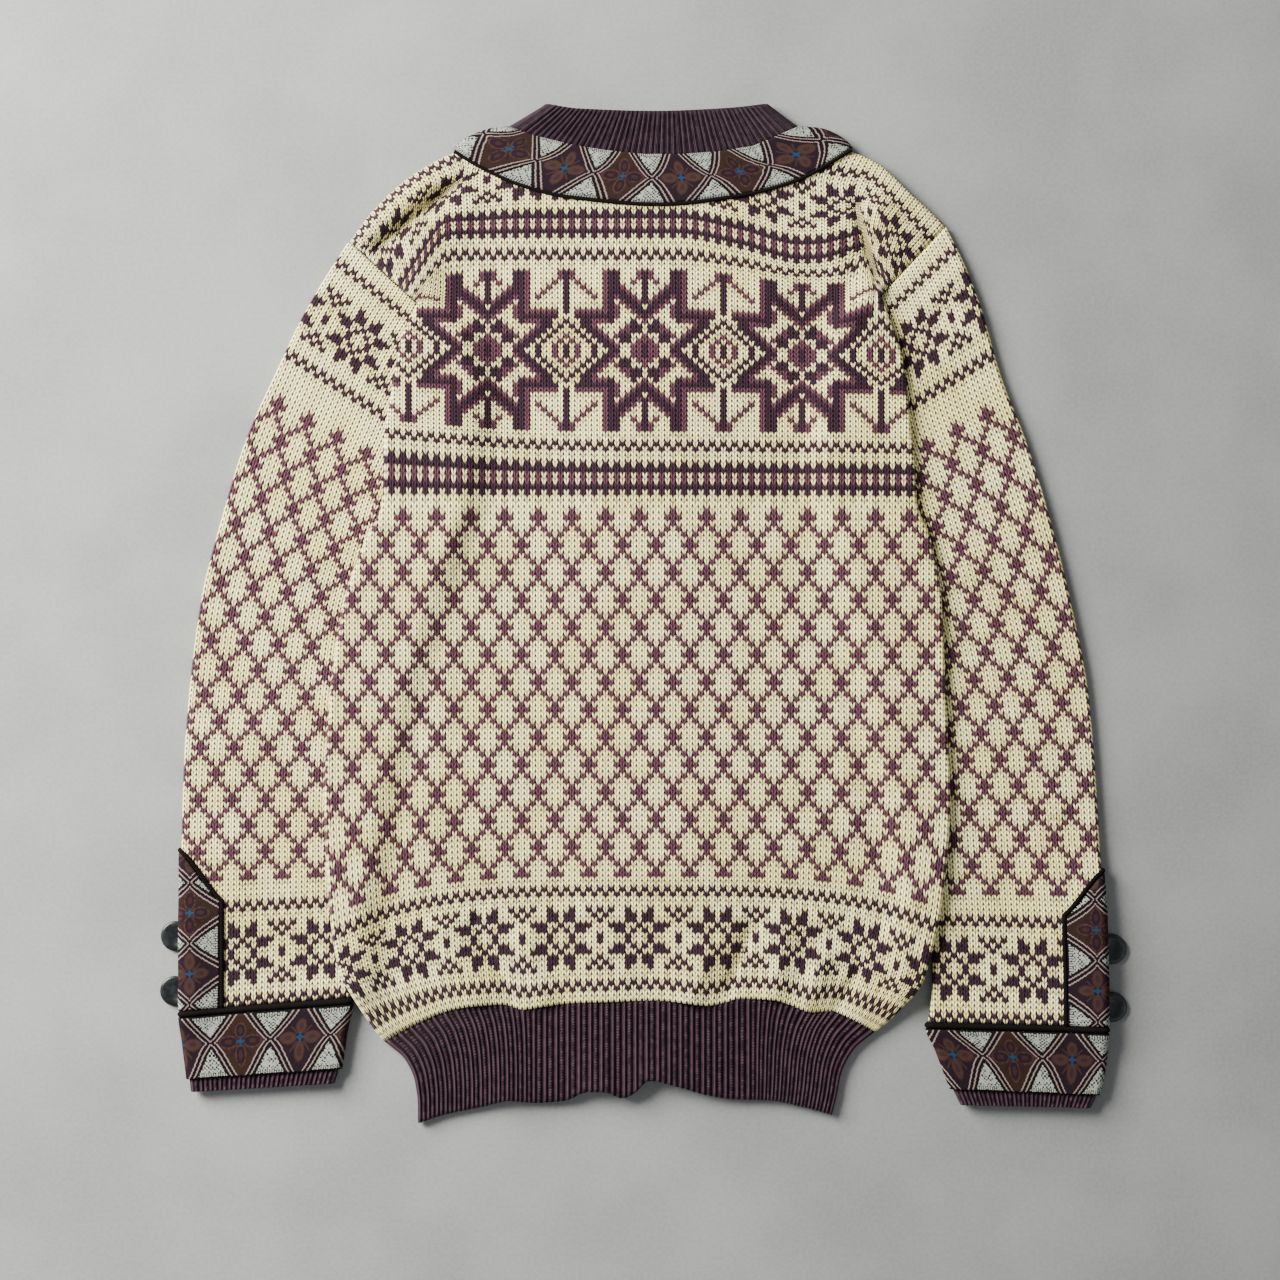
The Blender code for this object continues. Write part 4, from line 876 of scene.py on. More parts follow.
OUTER_X, OUTER_Y, INNER_X, INNER_Y, UNDER, BESIDE, AT_FOLD = range(7)
PLACKET_TIP, BRAID_LINE, CUFF_RIB_LINE = 10, 14, 16    # stations: rows of the tables above
PLACKET_GAP, TUBE_GAP = 0.5, 0.4       # how far a ribbon stands off the sleeve
RIBBON, BRAID, BRAID_HALF = 1.5, 2.0, 2.2  # thickness of a ribbon and a braid, and half its width
NEAR_FOLD, BESIDE_GAP, SETTLING = 8.0, 6.0, 36.0   # widths of the steps across the underside


def section(side, column, station):
    table = SLEEVES[side]
    return curve(np.arange(len(table)), table[:, column], station)


def sleeve_width(side, station):
    return np.hypot(section(side, INNER_X, station) - section(side, OUTER_X, station),
                    section(side, INNER_Y, station) - section(side, OUTER_Y, station))


def ring(side, station, out, upper, distance):
    """A place round a sleeve: a distance in from the outer fold, out from the cloth."""
    width = sleeve_width(side, station)
    radius = TUBE / 2 + out
    across = -out + distance / width * (width + 2 * out)
    half = radius * round_edge(np.minimum(across + out, width + out - across), radius)
    share = across / width
    start = section(side, OUTER_X, station), section(side, OUTER_Y, station)
    end = section(side, INNER_X, station), section(side, INNER_Y, station)
    x, y = (start[n] + (end[n] - start[n]) * share for n in (0, 1))
    inside = np.clip(across, 0.0, width)
    fold, beside, rest = (section(side, column, station) for column in (AT_FOLD, BESIDE, UNDER))
    settled = ease((inside - NEAR_FOLD) / (PLACKET_HALF - NEAR_FOLD))
    below_placket = fold + (beside - fold) * settled
    beyond = beside + (rest - beside) * ease((inside - PLACKET_HALF - BESIDE_GAP) / SETTLING)
    under = np.where(inside < PLACKET_HALF, below_placket, beyond)
    return x, y, under + TUBE / 2 + np.where(upper, half, -half)


def station_after(side, station, millimetres, trial=0.1):
    """The station that lies some millimetres further down the outer fold."""
    here, there = ([section(side, column, at) for column in (OUTER_X, OUTER_Y)]
                   for at in (station, station + trial))
    return station + trial * millimetres / math.dist(here, there)


print("widest sleeve", round(float(sleeve_width("left", np.arange(14.0)).max()), 1), "mm")

# %% [markdown]
# The sleeve is laid from the same helper. Its stitches go round the whole tube, and where the
# tube narrows, the columns beyond its inner edge close up there, which is where a knitter takes
# stitches in.

# %% The sleeves
SLEEVE_ROWS, SLEEVE_HALF = 144, 38.0       # rows, and stitches across its upper side
LINING_ROWS = 18
ABOVE_PLACKET = 8.5        # the station down to which soft folds may reach the outer fold
SLEEVE_SHIFT = {"left": 4, "right": 6}     # stitches from the outer fold to the chart's middle
# x1, y1, x2, y2, half width and height of the soft folds of a sleeve.
SLEEVE_FOLDS = {
    "left": [
        (-215, 225, -150, 190, 9, 1.5), (-232, 190, -160, 130, 10, 1.4),
        (-280, 60, -230, 30, 14, 1.0), (-300, -90, -250, -80, 14, 0.9),
        (-212, -150, -230, -250, 9, 1.2), (-290, -120, -285, -180, 10, 1.0)],
    "right": [
        (214, 236, 160, 196, 9, 1.5), (228, 196, 165, 140, 10, 1.4),
        (270, 60, 220, 30, 14, 1.0), (290, -90, 240, -80, 14, 0.9),
        (206, -160, 224, -262, 9, 1.2), (284, -130, 280, -190, 10, 1.0)]}


def knit_sleeve(side, seed):
    columns = np.concatenate([np.arange(-SLEEVE_HALF, -0.01, 2 * STEP),
                              np.arange(0.0, SLEEVE_HALF + 0.01, STEP)])
    rows = np.arange(0.0, SLEEVE_ROWS + 1.0)
    bottom = station_after(side, BRAID_LINE, -BRAID_HALF)
    stations = np.linspace(0.0, bottom, 400)
    middle = [(section(side, a, stations) + section(side, b, stations)) / 2
              for a, b in ((OUTER_X, INNER_X), (OUTER_Y, INNER_Y))]
    lengths = running_length(np.transpose(middle))
    u, v = np.meshgrid(columns, rows)
    drop, rise = stitch_shape(u)

    def station_at(row):
        return np.interp((1.0 - row / SLEEVE_ROWS) * lengths[-1], lengths, stations)

    width = sleeve_width(side, station_at(v))
    distance = np.minimum(np.abs(u) * PITCH, width)
    near = ease((width - distance - 0.5) / 4.0) * np.where(u < -0.1, ease(distance / 3.0), 1.0)
    station = station_at(np.clip(v + drop * near, 0.0, SLEEVE_ROWS))
    width = sleeve_width(side, station)
    distance = np.minimum(np.abs(u) * PITCH, width)
    x, y, z = ring(side, station, 0.0, u > -0.1, distance)
    edge = off_edge(np.minimum(distance, width - distance))
    folds = ridges(x, y, SLEEVE_FOLDS[side]) + waver(x, y) - 0.3
    beside_placket = ease((distance - PLACKET_HALF - 8.0) / 10.0)
    free = np.where(station > ABOVE_PLACKET, beside_placket, 1.0)
    under_body = np.abs(section(side, INNER_X, station)) + 34.0
    clear = ease((np.abs(x) - under_body) / 26.0)
    relief = np.where(u > -0.1, (rise + folds * clear * free) * edge,
                      np.clip(LEG_RISE - rise, 0.0, None) * edge * ease(distance / 6.0))
    places = np.stack([x, y, z + relief], axis=-1)
    u2, v2 = np.meshgrid(columns, np.linspace(SLEEVE_ROWS, 0.0, LINING_ROWS))
    station2 = station_at(v2)
    lining = np.stack(ring(side, station2, -SLEEVE_WALL, u2 > -0.1,
                           np.minimum(np.abs(u2) * PITCH, sleeve_width(side, station2))), axis=-1)
    places = np.concatenate([places, lining, places[:1]])
    places = np.concatenate([places, places[:, :1]], axis=1)
    pattern = np.stack([np.concatenate([u, u2, u[:1]]), np.concatenate([v, v2, v[:1]])], axis=-1)
    pattern = np.concatenate([pattern, pattern[:, :1]], axis=1)
    yarns = yarn_table(np.append(columns, columns[0]), rows, SLEEVE_PLAN, seed,
                       SLEEVE_SHIFT[side])
    inside = np.linspace(SLEEVE_ROWS - 1, 0, LINING_ROWS + 1).astype(int)
    yarns = np.concatenate([yarns, yarns[inside]])
    sleeve = lay_cloth("knit_sleeve_" + side, places, pattern, yarns)
    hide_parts("sleeve_" + side)
    return sleeve


sleeves = {side: knit_sleeve(side, seed) for side, seed in (("left", 11), ("right", 17))}

# %% [markdown]
# Now the wool itself. Each leg of a stitch is a short thick yarn, so its height is round across
# the leg and dips at both ends; the gaps are darker because light hardly reaches them. The
# colour comes from the chart that the faces carry, with a small change from stitch to stitch
# and fine fibre on top.

# %% The wool of the stranded knit
CREAM, CREAM_WORN = (0.87, 0.755, 0.315), (0.95, 0.860, 0.425)
CREAM_GAP = (0.10, 0.038, 0.042)       # dark wool that shows between cream stitches
PLUM, ROSE = (0.027, 0.0105, 0.019), (0.078, 0.0285, 0.042)


def knit_paint(name):
    paint = Paint(name, Roughness=0.92, Sheen_Weight=0.06, Sheen_Roughness=0.5,
                  Specular_IOR_Level=0.08)
    u, v = paint.uv("stitches")
    across = (abs((u + 0.5).part() - 0.5) - 0.25) * 4.0
    along = v.part()
    leg = (1.0 - across * across).most(0.0).power(0.5)
    ends = (along * math.pi).sine().most(0.0).power(0.6)
    twist = ((along * 3.0 + across * 0.35) * (2 * math.pi)).sine() * 0.5 + 0.5
    height = leg * (0.40 + ends * 0.60) + twist * leg * 0.10
    joint = (0.5 - abs(along - 0.5)) / 0.34
    gap = 1.0 - ((1.0 - across) * (1.0 - across) * 0.8 + joint * joint * 0.8).soft(0.15, 1.15)
    crook = 1.0 - ((1.0 + across) * (1.0 + across) * 1.3 + joint * joint).soft(0.15, 1.15)
    where = paint.here()
    fibre = paint.noise(2600.0, 3.0, where)
    worn = paint.noise(26.0, 2.0, where)
    split = paint.nodes.new("ShaderNodeSeparateColor")
    yarn = paint.node("ShaderNodeAttribute", {"attribute_name": "yarn"})
    paint.links.new(yarn.socket, split.inputs[0])
    plum, rose, change = (Wire(paint, split.outputs[n]) for n in range(3))
    beside = Wire(paint, yarn.socket.node.outputs["Alpha"])
    cream = paint.mix(worn.soft(0.35, 0.65), CREAM, CREAM_WORN)
    cream = paint.mix(beside * (1.0 - height.soft(0.55, 1.15)) * 0.95, cream, CREAM_GAP)
    colour = paint.mix(plum, cream, PLUM)
    colour = paint.mix(rose, colour, ROSE)
    # Painted shade: the colour is darkened at the sides of each leg and in the gaps and crooks
    # between stitches.
    shade = (1.0 - (1.0 - leg) * 0.26 - gap * 0.84 - crook * 0.50).most(0.05)
    shade = shade * (0.88 + change * 0.2) * (0.86 + fibre * 0.28)
    paint.shaded(colour, shade)
    paint.rough(0.86 + fibre * 0.1)
    paint.bump(height + fibre * 0.12, 0.0009)
    return paint.material


def dress(pieces, material):
    for piece in pieces:
        piece.data.materials.append(material)
    print(material.name, "on", len(pieces), "pieces")


dress([back, *fronts.values(), *sleeves.values()], knit_paint("stranded_knit"))

# %% [markdown]
# Ribbing is knitted in columns that stand up and columns that sink, so it draws the cloth in.
# Here each rib is a soft ridge of the mesh. The hem's lower edge waves where the rib has
# relaxed, and its sides pull in below the seam.

# %% The hem ribs
HEM_RIBS = {"back": 87, "left": 46, "right": 41}
RIB_WALL, RIB_HEIGHT, RIB_ROUND = 2.0, 1.25, 0.8
HEM_STRAIGHT = 75.0        # the ribbing draws in only beyond this distance from the middle
# Across and up for the lower edge, and how far its wave lifts it there.
HEM_EDGE = np.array([
    (-156, -352, 0.6), (-140, -346.5, 0.0), (-110, -340, 0.6), (-93, -336, 3.2),
    (-76, -337.5, 1.0), (-54, -336, 0.4), (-39, -329.5, 3.0), (-27, -329.5, 3.4),
    (-15, -334, 0.6), (-7, -331, 1.6), (4, -321.5, 3.8), (22, -325.5, 3.0), (44, -332, 1.2),
    (62, -335, 0.4), (88, -336, 0.4), (112, -341, 0.2), (130, -346, 0.6)], float)
# The share of the way down, and the x of the left and of the right side there.
HEM_SIDES = np.array([
    (0.0, -179, 160), (0.22, -165, 145), (0.5, -158, 136.5), (0.8, -156, 133),
    (1.0, -156, 130)], float)
HEM_ROWS = 24


def hem_place(part, seam_x):
    """A place on the hem rib below a place on its seam, and how far its wave lifts it."""
    outer = np.where(seam_x < 0, -HEM_LEFT, HEM_RIGHT) - HEM_STRAIGHT
    beyond = np.clip(np.abs(seam_x) - HEM_STRAIGHT, 0.0, None) / outer

    def drawn_in(down):
        end = np.where(seam_x < 0, -curve(HEM_SIDES[:, 0], HEM_SIDES[:, 1], down),
                       curve(HEM_SIDES[:, 0], HEM_SIDES[:, 2], down))
        inner = np.minimum(np.abs(seam_x), HEM_STRAIGHT)
        return np.copysign(inner + beyond * (end - HEM_STRAIGHT), seam_x)

    seam_y = row_height(np.full_like(seam_x, HEM_ROW), seam_x) + 0.4
    edge = drawn_in(np.ones_like(part))
    edge_y = curve(HEM_EDGE[:, 0], HEM_EDGE[:, 1], edge)
    wave = curve(HEM_EDGE[:, 0], HEM_EDGE[:, 2], edge) * part * part
    return drawn_in(part), seam_y + (edge_y - seam_y) * part, wave


RIB_STEPS = 6              # columns of points for one rib


def rib_wave(phase):
    """0 between two ribs and 1 on top of one; a rib is a little broader than the dip."""
    return (0.5 - 0.5 * np.cos(2 * np.pi * phase)) ** RIB_ROUND


def rib_yarns(shape, seed):
    change = np.random.default_rng(seed).random(shape)
    one = np.ones(shape)
    return np.stack([one, one * 0, change, one], axis=-1)


def hem_rib(name, first_x, last_x, ribs, under_share, down, seed):
    """The back's or a front's ribbing; down is true where its fine face lies underneath."""
    phase = np.arange(ribs * RIB_STEPS + 1) / RIB_STEPS
    part, across = np.meshgrid(np.linspace(1.0, 0.0, HEM_ROWS), phase / ribs, indexing="ij")
    seam_x = first_x + (last_x - first_x) * across
    x, y, wave = hem_place(part, seam_x)
    first, last = hem_place(part, part * 0 + first_x)[0], hem_place(part, part * 0 + last_x)[0]
    free = [abs(end) > 1.0 for end in (first_x, last_x)]
    inward = np.minimum(np.where(free[0], x - first, 99.0), np.where(free[1], last - x, 99.0))
    edge = round_edge(np.minimum(inward, (1.0 - part) * 60.0 + 0.6), FOLD)
    closing = straight(CLOSING, np.abs(seam_x))
    rib = rib_wave(phase)[None, :] * RIB_HEIGHT * edge
    rows = np.arange(HEM_ROWS, dtype=float)
    y = y + 0.35 * np.sin(phase * 2 * np.pi)[None, :] * (part > 0.99)
    if down:
        fine_z = closing + CLOTH * (1.0 - wall_share(edge)) + 0.6 - rib * 0.5
        plain_z = closing + CLOTH
    else:
        under = closing + LAYER + wave * ease(inward / 8.0)
        fine_z = under + 0.5 + (RIB_WALL - 0.5) * edge + rib
        plain_z = under
    plain = np.stack([x, y, plain_z], axis=-1)[:, ::-under_share]
    places = there_and_back(np.stack([x, y, fine_z], axis=-1), plain)
    u = np.concatenate([phase, phase[::-under_share], phase[:1]])
    pattern = np.stack(np.meshgrid(u, rows), axis=-1)
    back_of = np.arange(len(phase))[::-under_share]
    piece = lay_cloth(name, places, pattern, rib_yarns((HEM_ROWS, len(u)), seed), back_of)
    return piece


hem_back = hem_rib("rib_hem_back", HEM_LEFT, HEM_RIGHT, HEM_RIBS["back"], 9, False, 21)
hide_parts("hem_rib_back")
hem_left = hem_rib("rib_hem_front_left", HEM_LEFT, -SEAM / 2, HEM_RIBS["left"], 12, True, 22)
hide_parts("hem_rib_front_left")
hem_right = hem_rib("rib_hem_front_right", SEAM / 2, HEM_RIGHT, HEM_RIBS["right"], 6, True, 23)
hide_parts("hem_rib_front_right")

# %% [markdown]
# The collar and the woven trim are strips that run up one front edge, over a shoulder, across
# the back and down the other side. Each point of such a strip is worked out from three lines:
# the trim's lower edge, the seam and the collar's upper edge.

# %% Strips round the neck
NECK_UNDER = NECK_RISE + LAYER
NECK_TOP = NECK_UNDER + CLOTH
COLLAR_EDGE = np.array([(-68, 351.5), (-45, 348), (8, 346.3), (60, 348.5), (86, 351.5)], float)
# Where a strip turns over the left and the right shoulder, from its lower edge to its upper one.
TRIM_FOLD = np.array([
    (0.0, -132, 320.5, 144.5, 321), (0.3, -122, 328.7, 139.5, 326.8),
    (0.7, -105, 334.8, 122.5, 334.8), (1.0, -97.5, 335.4, 111.5, 335.6)], float)
COLLAR_FOLD = np.array([
    (0.0, -93.2, 337.6, 106.5, 337.9), (1.0, -68.0, 351.5, 86.0, 351.5)], float)
# The section of the turn: how far in from the fold, and what share of the way up.
TURN = np.array([
    (1.0, 0.0), (0.72, 0.03), (0.29, 0.15), (0.08, 0.31), (0.0, 0.5), (0.08, 0.69),
    (0.29, 0.85), (0.72, 0.97), (1.0, 1.0)])
FRONT_STEPS, FRONT_END = 26, 0.93  # points on a front half, and how near the fold they come
FLOWER_X = -14.2           # a flower of the ribbon lies here at the back of the neck


def fold_at(table, part, side):
    column = 1 if side == "left" else 3
    return (float(curve(table[:, 0], table[:, column], part)),
            float(curve(table[:, 0], table[:, column + 1], part)))


def front_strip(table, width, part, share, side):
    """A place on the front half of a strip: share runs from the fold to the closing."""
    path = FRONT_NECKLINE[:5] if side == "left" else FRONT_NECKLINE[4:][::-1]
    lengths = running_length(path)
    at = share * lengths[-1]
    seam = np.interp(at, lengths, path[:, 0]), np.interp(at, lengths, path[:, 1])
    sewn, loose = (1.0, 0.0) if width < 0 else (0.0, 1.0)
    start, end = fold_at(table, sewn, side), fold_at(table, loose, side)
    turned = float(ease(share))
    along = ((end[0] - start[0]) * (1.0 - turned),
             (end[1] - start[1]) * (1.0 - turned) + width * turned)
    out = abs(part - sewn)
    bowed = fold_at(table, part, side)
    near = 1.0 - float(ease(share / 0.12))
    x, y = (seam[n] + along[n] * out + (bowed[n] - start[n] - (end[n] - start[n]) * out) * near
            for n in (0, 1))
    return x, y + math.copysign(SEAM + 0.1, width)


def neck_strip(table, width, part, columns, edges, layers, depth, slant):
    """One line along a strip: x, y, the outside's height, the inside's x and height, and 1 if it
    lies on the back of the garment."""
    front_out, front_in, back_in, back_out = layers
    lower, upper = edges
    ends = [fold_at(table, row, side) for row in (0.0, 1.0) for side in ("left", "right")]
    left, right = fold_at(table, part, "left"), fold_at(table, part, "right")

    def back_y(x):
        share = (x - left[0]) / (right[0] - left[0])
        low_x = ends[0][0] + (ends[1][0] - ends[0][0]) * share
        high_x = ends[2][0] + (ends[3][0] - ends[2][0]) * share
        y = float(lower(low_x) + (upper(high_x) - lower(low_x)) * part)
        for end, pair in ((left, (ends[0], ends[2])), (right, (ends[1], ends[3]))):
            level = pair[0][1] + (pair[1][1] - pair[0][1]) * part
            y += (end[1] - level) * math.exp(-abs(x - end[0]) / 12.0)
        return y

    def front(side):
        line = []
        for n in range(FRONT_STEPS + 1):
            x, y = front_strip(table, width, part, 1.0 - n / FRONT_STEPS * FRONT_END, side)
            x = min(x, -SEAM / 2) if side == "left" else max(x, SEAM / 2)
            line.append((x, y, front_out, x, front_in, 0.0))
        return line

    def turn(side):
        fold, inward = (left, 1.0) if side == "left" else (right, -1.0)
        wall = abs(front_in - front_out)
        line = []
        for away, up in TURN:
            x = fold[0] + inward * depth * slant * away
            inner_x = fold[0] + inward * slant * (wall + (depth - wall) * away)
            y = fold[1] + (back_y(x) - fold[1]) * up
            line.append((x, y, front_out + (back_out - front_out) * up, inner_x,
                         front_in + (back_in - front_in) * up, float(up > 0.9)))
        return line

    inset = depth * slant + 1.5
    span = right[0] - left[0] - 2 * inset
    middle = [left[0] + inset + span * n / columns for n in range(1, columns)]
    across = [(x, back_y(x), back_out, x, back_in, 1.0) for x in middle]
    return np.array(front("left") + turn("left") + across + turn("right")[::-1]
                    + front("right")[::-1])


def neck_cloth(name, table, width, parts, columns, edges, layers, depth, slant, rise=0.0,
               seed=31):
    """A strip round the neck, its outside in fine rows and its inside closed behind it. Where
    rise isn't 0, the outside has ribs of that height."""
    lines = np.stack([neck_strip(table, width, part, columns, edges, layers, depth, slant)
                      for part in parts])
    outside, inside = lines[..., [0, 1, 2]], lines[..., [3, 1, 4]]
    middle_line, count = outside[len(parts) // 2], lines.shape[1]
    length = running_length(middle_line[:, :2])
    from_edge = np.minimum(parts, 1.0 - parts) * abs(width)
    rolled = round_edge(from_edge + 0.35, 1.3)[:, None]
    outwards = np.where(lines[..., 5] > 0.5, 1.0, -1.0)
    ribs = rise * rib_wave((np.arange(count) - (count - 1) / 2) / RIB_STEPS)
    outside[..., 2] += outwards * ribs * rolled
    outside[..., 2] = inside[..., 2] + (outside[..., 2] - inside[..., 2]) * (0.35 + 0.65 * rolled)
    skip = -max(1, len(parts) // 3)
    places = np.concatenate([outside, inside[::skip], inside[:1], outside[:1]])
    across_back = slice(count // 2 - columns // 2 + 5, count // 2 + columns // 2 - 5)
    zero = np.interp(FLOWER_X, middle_line[across_back, 0], length[across_back])
    v = np.concatenate([parts, parts[::skip], parts[:1], parts[:1]])
    pattern = np.stack(np.meshgrid(length - zero, (v - 0.5) * abs(width)), axis=-1)
    return lay_cloth(name, places, pattern, rib_yarns(places.shape[:2], seed))


COLLAR_RIBS = 46


def seam_edge(x):
    return straight(NECKLINE, x)


collar = neck_cloth("rib_collar", COLLAR_FOLD, COLLAR_FRONT, np.linspace(0.0, 1.0, 12),
                    RIB_STEPS * COLLAR_RIBS,
                    (lambda x: seam_edge(x) - 1.6, lambda x: through(COLLAR_EDGE, x)),
                    (NECK_RISE, NECK_RISE + RIB_WALL, NECK_TOP - 0.6, NECK_TOP + 0.9),
                    2.9, 1.6, RIB_HEIGHT, 32)
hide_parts("collar_rib")
trim = neck_cloth("woven_neck_trim", TRIM_FOLD, -TRIM_WIDTH, np.linspace(0.0, 1.0, 18), 150,
                  (lambda x: through(TRIM_LOWER, x), lambda x: seam_edge(x) - SEAM),
                  (0.0, RIBBON, NECK_TOP + 0.6, NECK_TOP + 0.6 + RIBBON), 5.2, 1.5)
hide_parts("neck_trim")

# %% [markdown]
# Narrow black braid covers each raw edge of the ribbon. It is a round plaited cord pressed
# flat, so its section here is a low arch, and the plait itself is in its material.

# %% Braids
ARCH_STEPS, BRAID_RIM = 9, 0.12    # points over a braid, and its height at the rims as a share


def braid_along(name, centre, across, up, width, thick):
    """A braid on a line of places under its middle, with the directions across it and up."""
    steps = np.linspace(0.0, np.pi, ARCH_STEPS)
    side = np.cos(steps)[:, None, None] * across * (width / 2)
    high = (BRAID_RIM + (1.0 - BRAID_RIM) * np.sin(steps))[:, None, None] * up * thick
    arch = centre[None] + side + high
    flat = np.stack([centre - across * (width / 2), centre + across * (width / 2)])
    places = np.concatenate([arch, flat, arch[:1]])
    v = np.concatenate([steps / np.pi, [1.0, 0.0, 0.0]])
    pattern = np.stack(np.meshgrid(running_length(centre), v), axis=-1)
    piece = lay_cloth(name, places, pattern)
    return piece


PIPING_LEFT, PIPING_RIGHT, PIPING_DROP = -130.5, 143.0, 1.1
xs = np.linspace(PIPING_LEFT, PIPING_RIGHT, 160)
piping_y = through(TRIM_LOWER, xs) - PIPING_DROP
slope = np.gradient(piping_y, xs)
downhill = np.stack([slope, slope * 0.0 - 1.0, slope * 0.0], axis=1)
downhill /= np.hypot(slope, 1.0)[:, None]
piping = braid_along("braid_neck", np.stack([xs, piping_y, xs * 0.0 + NECK_TOP + 0.35], axis=1),
                     downhill, np.array([0.0, 0.0, 1.0]), 2.6, 2.1)
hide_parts("neck_piping")

# %% [markdown]
# Round each wrist go, from the hand up, a short rib, the woven ribbon and a braid; beside the
# outer fold a pointed ribbon covers the old slit. All of them lie round the sleeve's own tube,
# so they come from its ring of places and only differ in how far they stand out from it.

# %% Cuffs
CUFF_SHIFT = {"left": 40.0, "right": 64.0}  # from the outer fold to a flower, in millimetres
CUFF_RING = 15             # the pattern is measured round the ring at this station
CUFF_RIB_PITCH, CUFF_RIB_HEIGHT = 3.6, 0.95
CUFF_PATTERN = 18.0        # half of the ribbon's height in its pattern
CUFF_SEED = 51
FOLD_STEPS = np.array([0.0, 0.35, 0.9, 1.8, 3.0])  # points stand closer together round a fold
AFTER_FOLD = 4.5


def around(width, step):
    """Distances round a flattened tube, from the inner edge underneath, by the fold, to the same
    edge on top, and which of them are on top."""
    flat = np.linspace(AFTER_FOLD, width - AFTER_FOLD, int(width / step))
    half = np.concatenate([FOLD_STEPS, flat, width - FOLD_STEPS[::-1]])
    distance = np.concatenate([half[::-1], half[1:]])
    return distance, np.arange(len(distance)) >= len(half)


def cuff_cloth(name, side, stations, outs, step, rib=0.0):
    """A closed wall round the sleeve: outs gives its distance from the cloth at each station."""
    width = float(sleeve_width(side, CUFF_RING))
    distance, upper = around(width, step)
    signed = np.where(upper, distance, -distance)
    places, pattern = [], []
    for station, out in zip(stations, outs):
        real = distance / width * float(sleeve_width(side, station))
        x, y, z = ring(side, np.full_like(real, station), out, upper, real)
        if rib:
            wave = rib_wave(distance / rib) * ease(distance / 5.0)
            wave = wave * ease((width - distance) / 5.0) * (out > -1.0)
            z = z + np.where(upper, 1.0, -0.4) * wave * CUFF_RIB_HEIGHT
        places.append(np.stack([x, y, z], axis=-1))
        pattern.append(np.stack([signed / (rib or 1.0), np.full_like(real, station)], axis=-1))
    return lay_cloth(name, np.array(places), np.array(pattern),
                     rib_yarns((len(places), len(signed)), CUFF_SEED))


def repattern(piece, shift, first, last, start, end):
    """Moves a piece's pattern along by shift, and makes its stations first to last the heights
    start to end."""
    uv = piece.data.uv_layers["stitches"].uv
    flat = np.empty(len(uv) * 2, np.float32)
    uv.foreach_get("vector", flat)
    flat = flat.reshape(-1, 2)
    flat[:, 0] -= shift
    flat[:, 1] = start + (end - start) * (flat[:, 1] - first) / (last - first)
    uv.foreach_set("vector", flat.ravel())


def wall_stations(first, last, rows, low, high):
    """Stations and distances for a wall: down its outside, round its edge and up its inside."""
    stations = np.append(np.linspace(first, last, rows), [last, last, first, first])
    return stations, np.append(np.full(rows, high), [(low + high) / 2, low, low, high])


cuffs = {}
for side in ("left", "right"):
    above = station_after(side, BRAID_LINE, -BRAID_HALF)
    below = station_after(side, BRAID_LINE, BRAID_HALF)
    top, foot = station_after(side, below, SEAM), CUFF_RIB_LINE
    stations, outs = wall_stations(top, foot, 20, TUBE_GAP, TUBE_GAP + RIBBON)
    ribbon = cuff_cloth("woven_cuff_" + side, side, stations, outs, 1.6)
    repattern(ribbon, CUFF_SHIFT[side], top, foot, CUFF_PATTERN, -CUFF_PATTERN)
    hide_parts("cuff_trim_" + side)

    rib_top = station_after(side, CUFF_RIB_LINE, SEAM)
    stations, outs = wall_stations(rib_top - 0.12, 17.0, 9, -TUBE_GAP - RIB_WALL, -TUBE_GAP)
    rib = cuff_cloth("rib_cuff_" + side, side, stations, outs, 0.62, rib=CUFF_RIB_PITCH)
    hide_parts("cuff_rib_" + side)

    stations = np.append(np.linspace(above, below, ARCH_STEPS), [below, above, above])
    arch = np.sin(np.linspace(0.15, np.pi - 0.15, ARCH_STEPS))
    arch = TUBE_GAP + 0.3 + (BRAID - 0.3) * arch
    outs = np.append(arch, [TUBE_GAP, TUBE_GAP, arch[0]])
    braid = cuff_cloth("braid_cuff_" + side, side, stations, outs, 1.5)
    repattern(braid, 0.0, above, below, 0.0, 1.0)
    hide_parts("cuff_braid_" + side)
    cuffs[side] = (ribbon, rib, braid)

# %% [markdown]
# The pointed ribbon beside the fold is a strip folded over the sleeve's edge. Its upper end is
# cut to a point, which here means that each column of the grid ends at its own station.

# %% Pointed ribbons and their braid
PLACKET_CENTRE = 8.5       # from the outer fold to the middle of the ribbon
PLACKET_ROWS, PLACKET_ROLL = 44, 1.4
PLACKET_FLOWER = {"left": -206.4, "right": -218.0}     # the y of a flower of its pattern
EDGING_ROWS, EDGING_WIDTH, EDGING_THICK = 40, 3.2, 2.1


def point_edge(distance):
    """The station where the point's cut edge lies, at a distance from the outer fold."""
    return PLACKET_TIP + 0.03 + 0.88 * np.abs(distance) / PLACKET_HALF


def unit(directions):
    return directions / np.linalg.norm(directions, axis=1)[:, None]


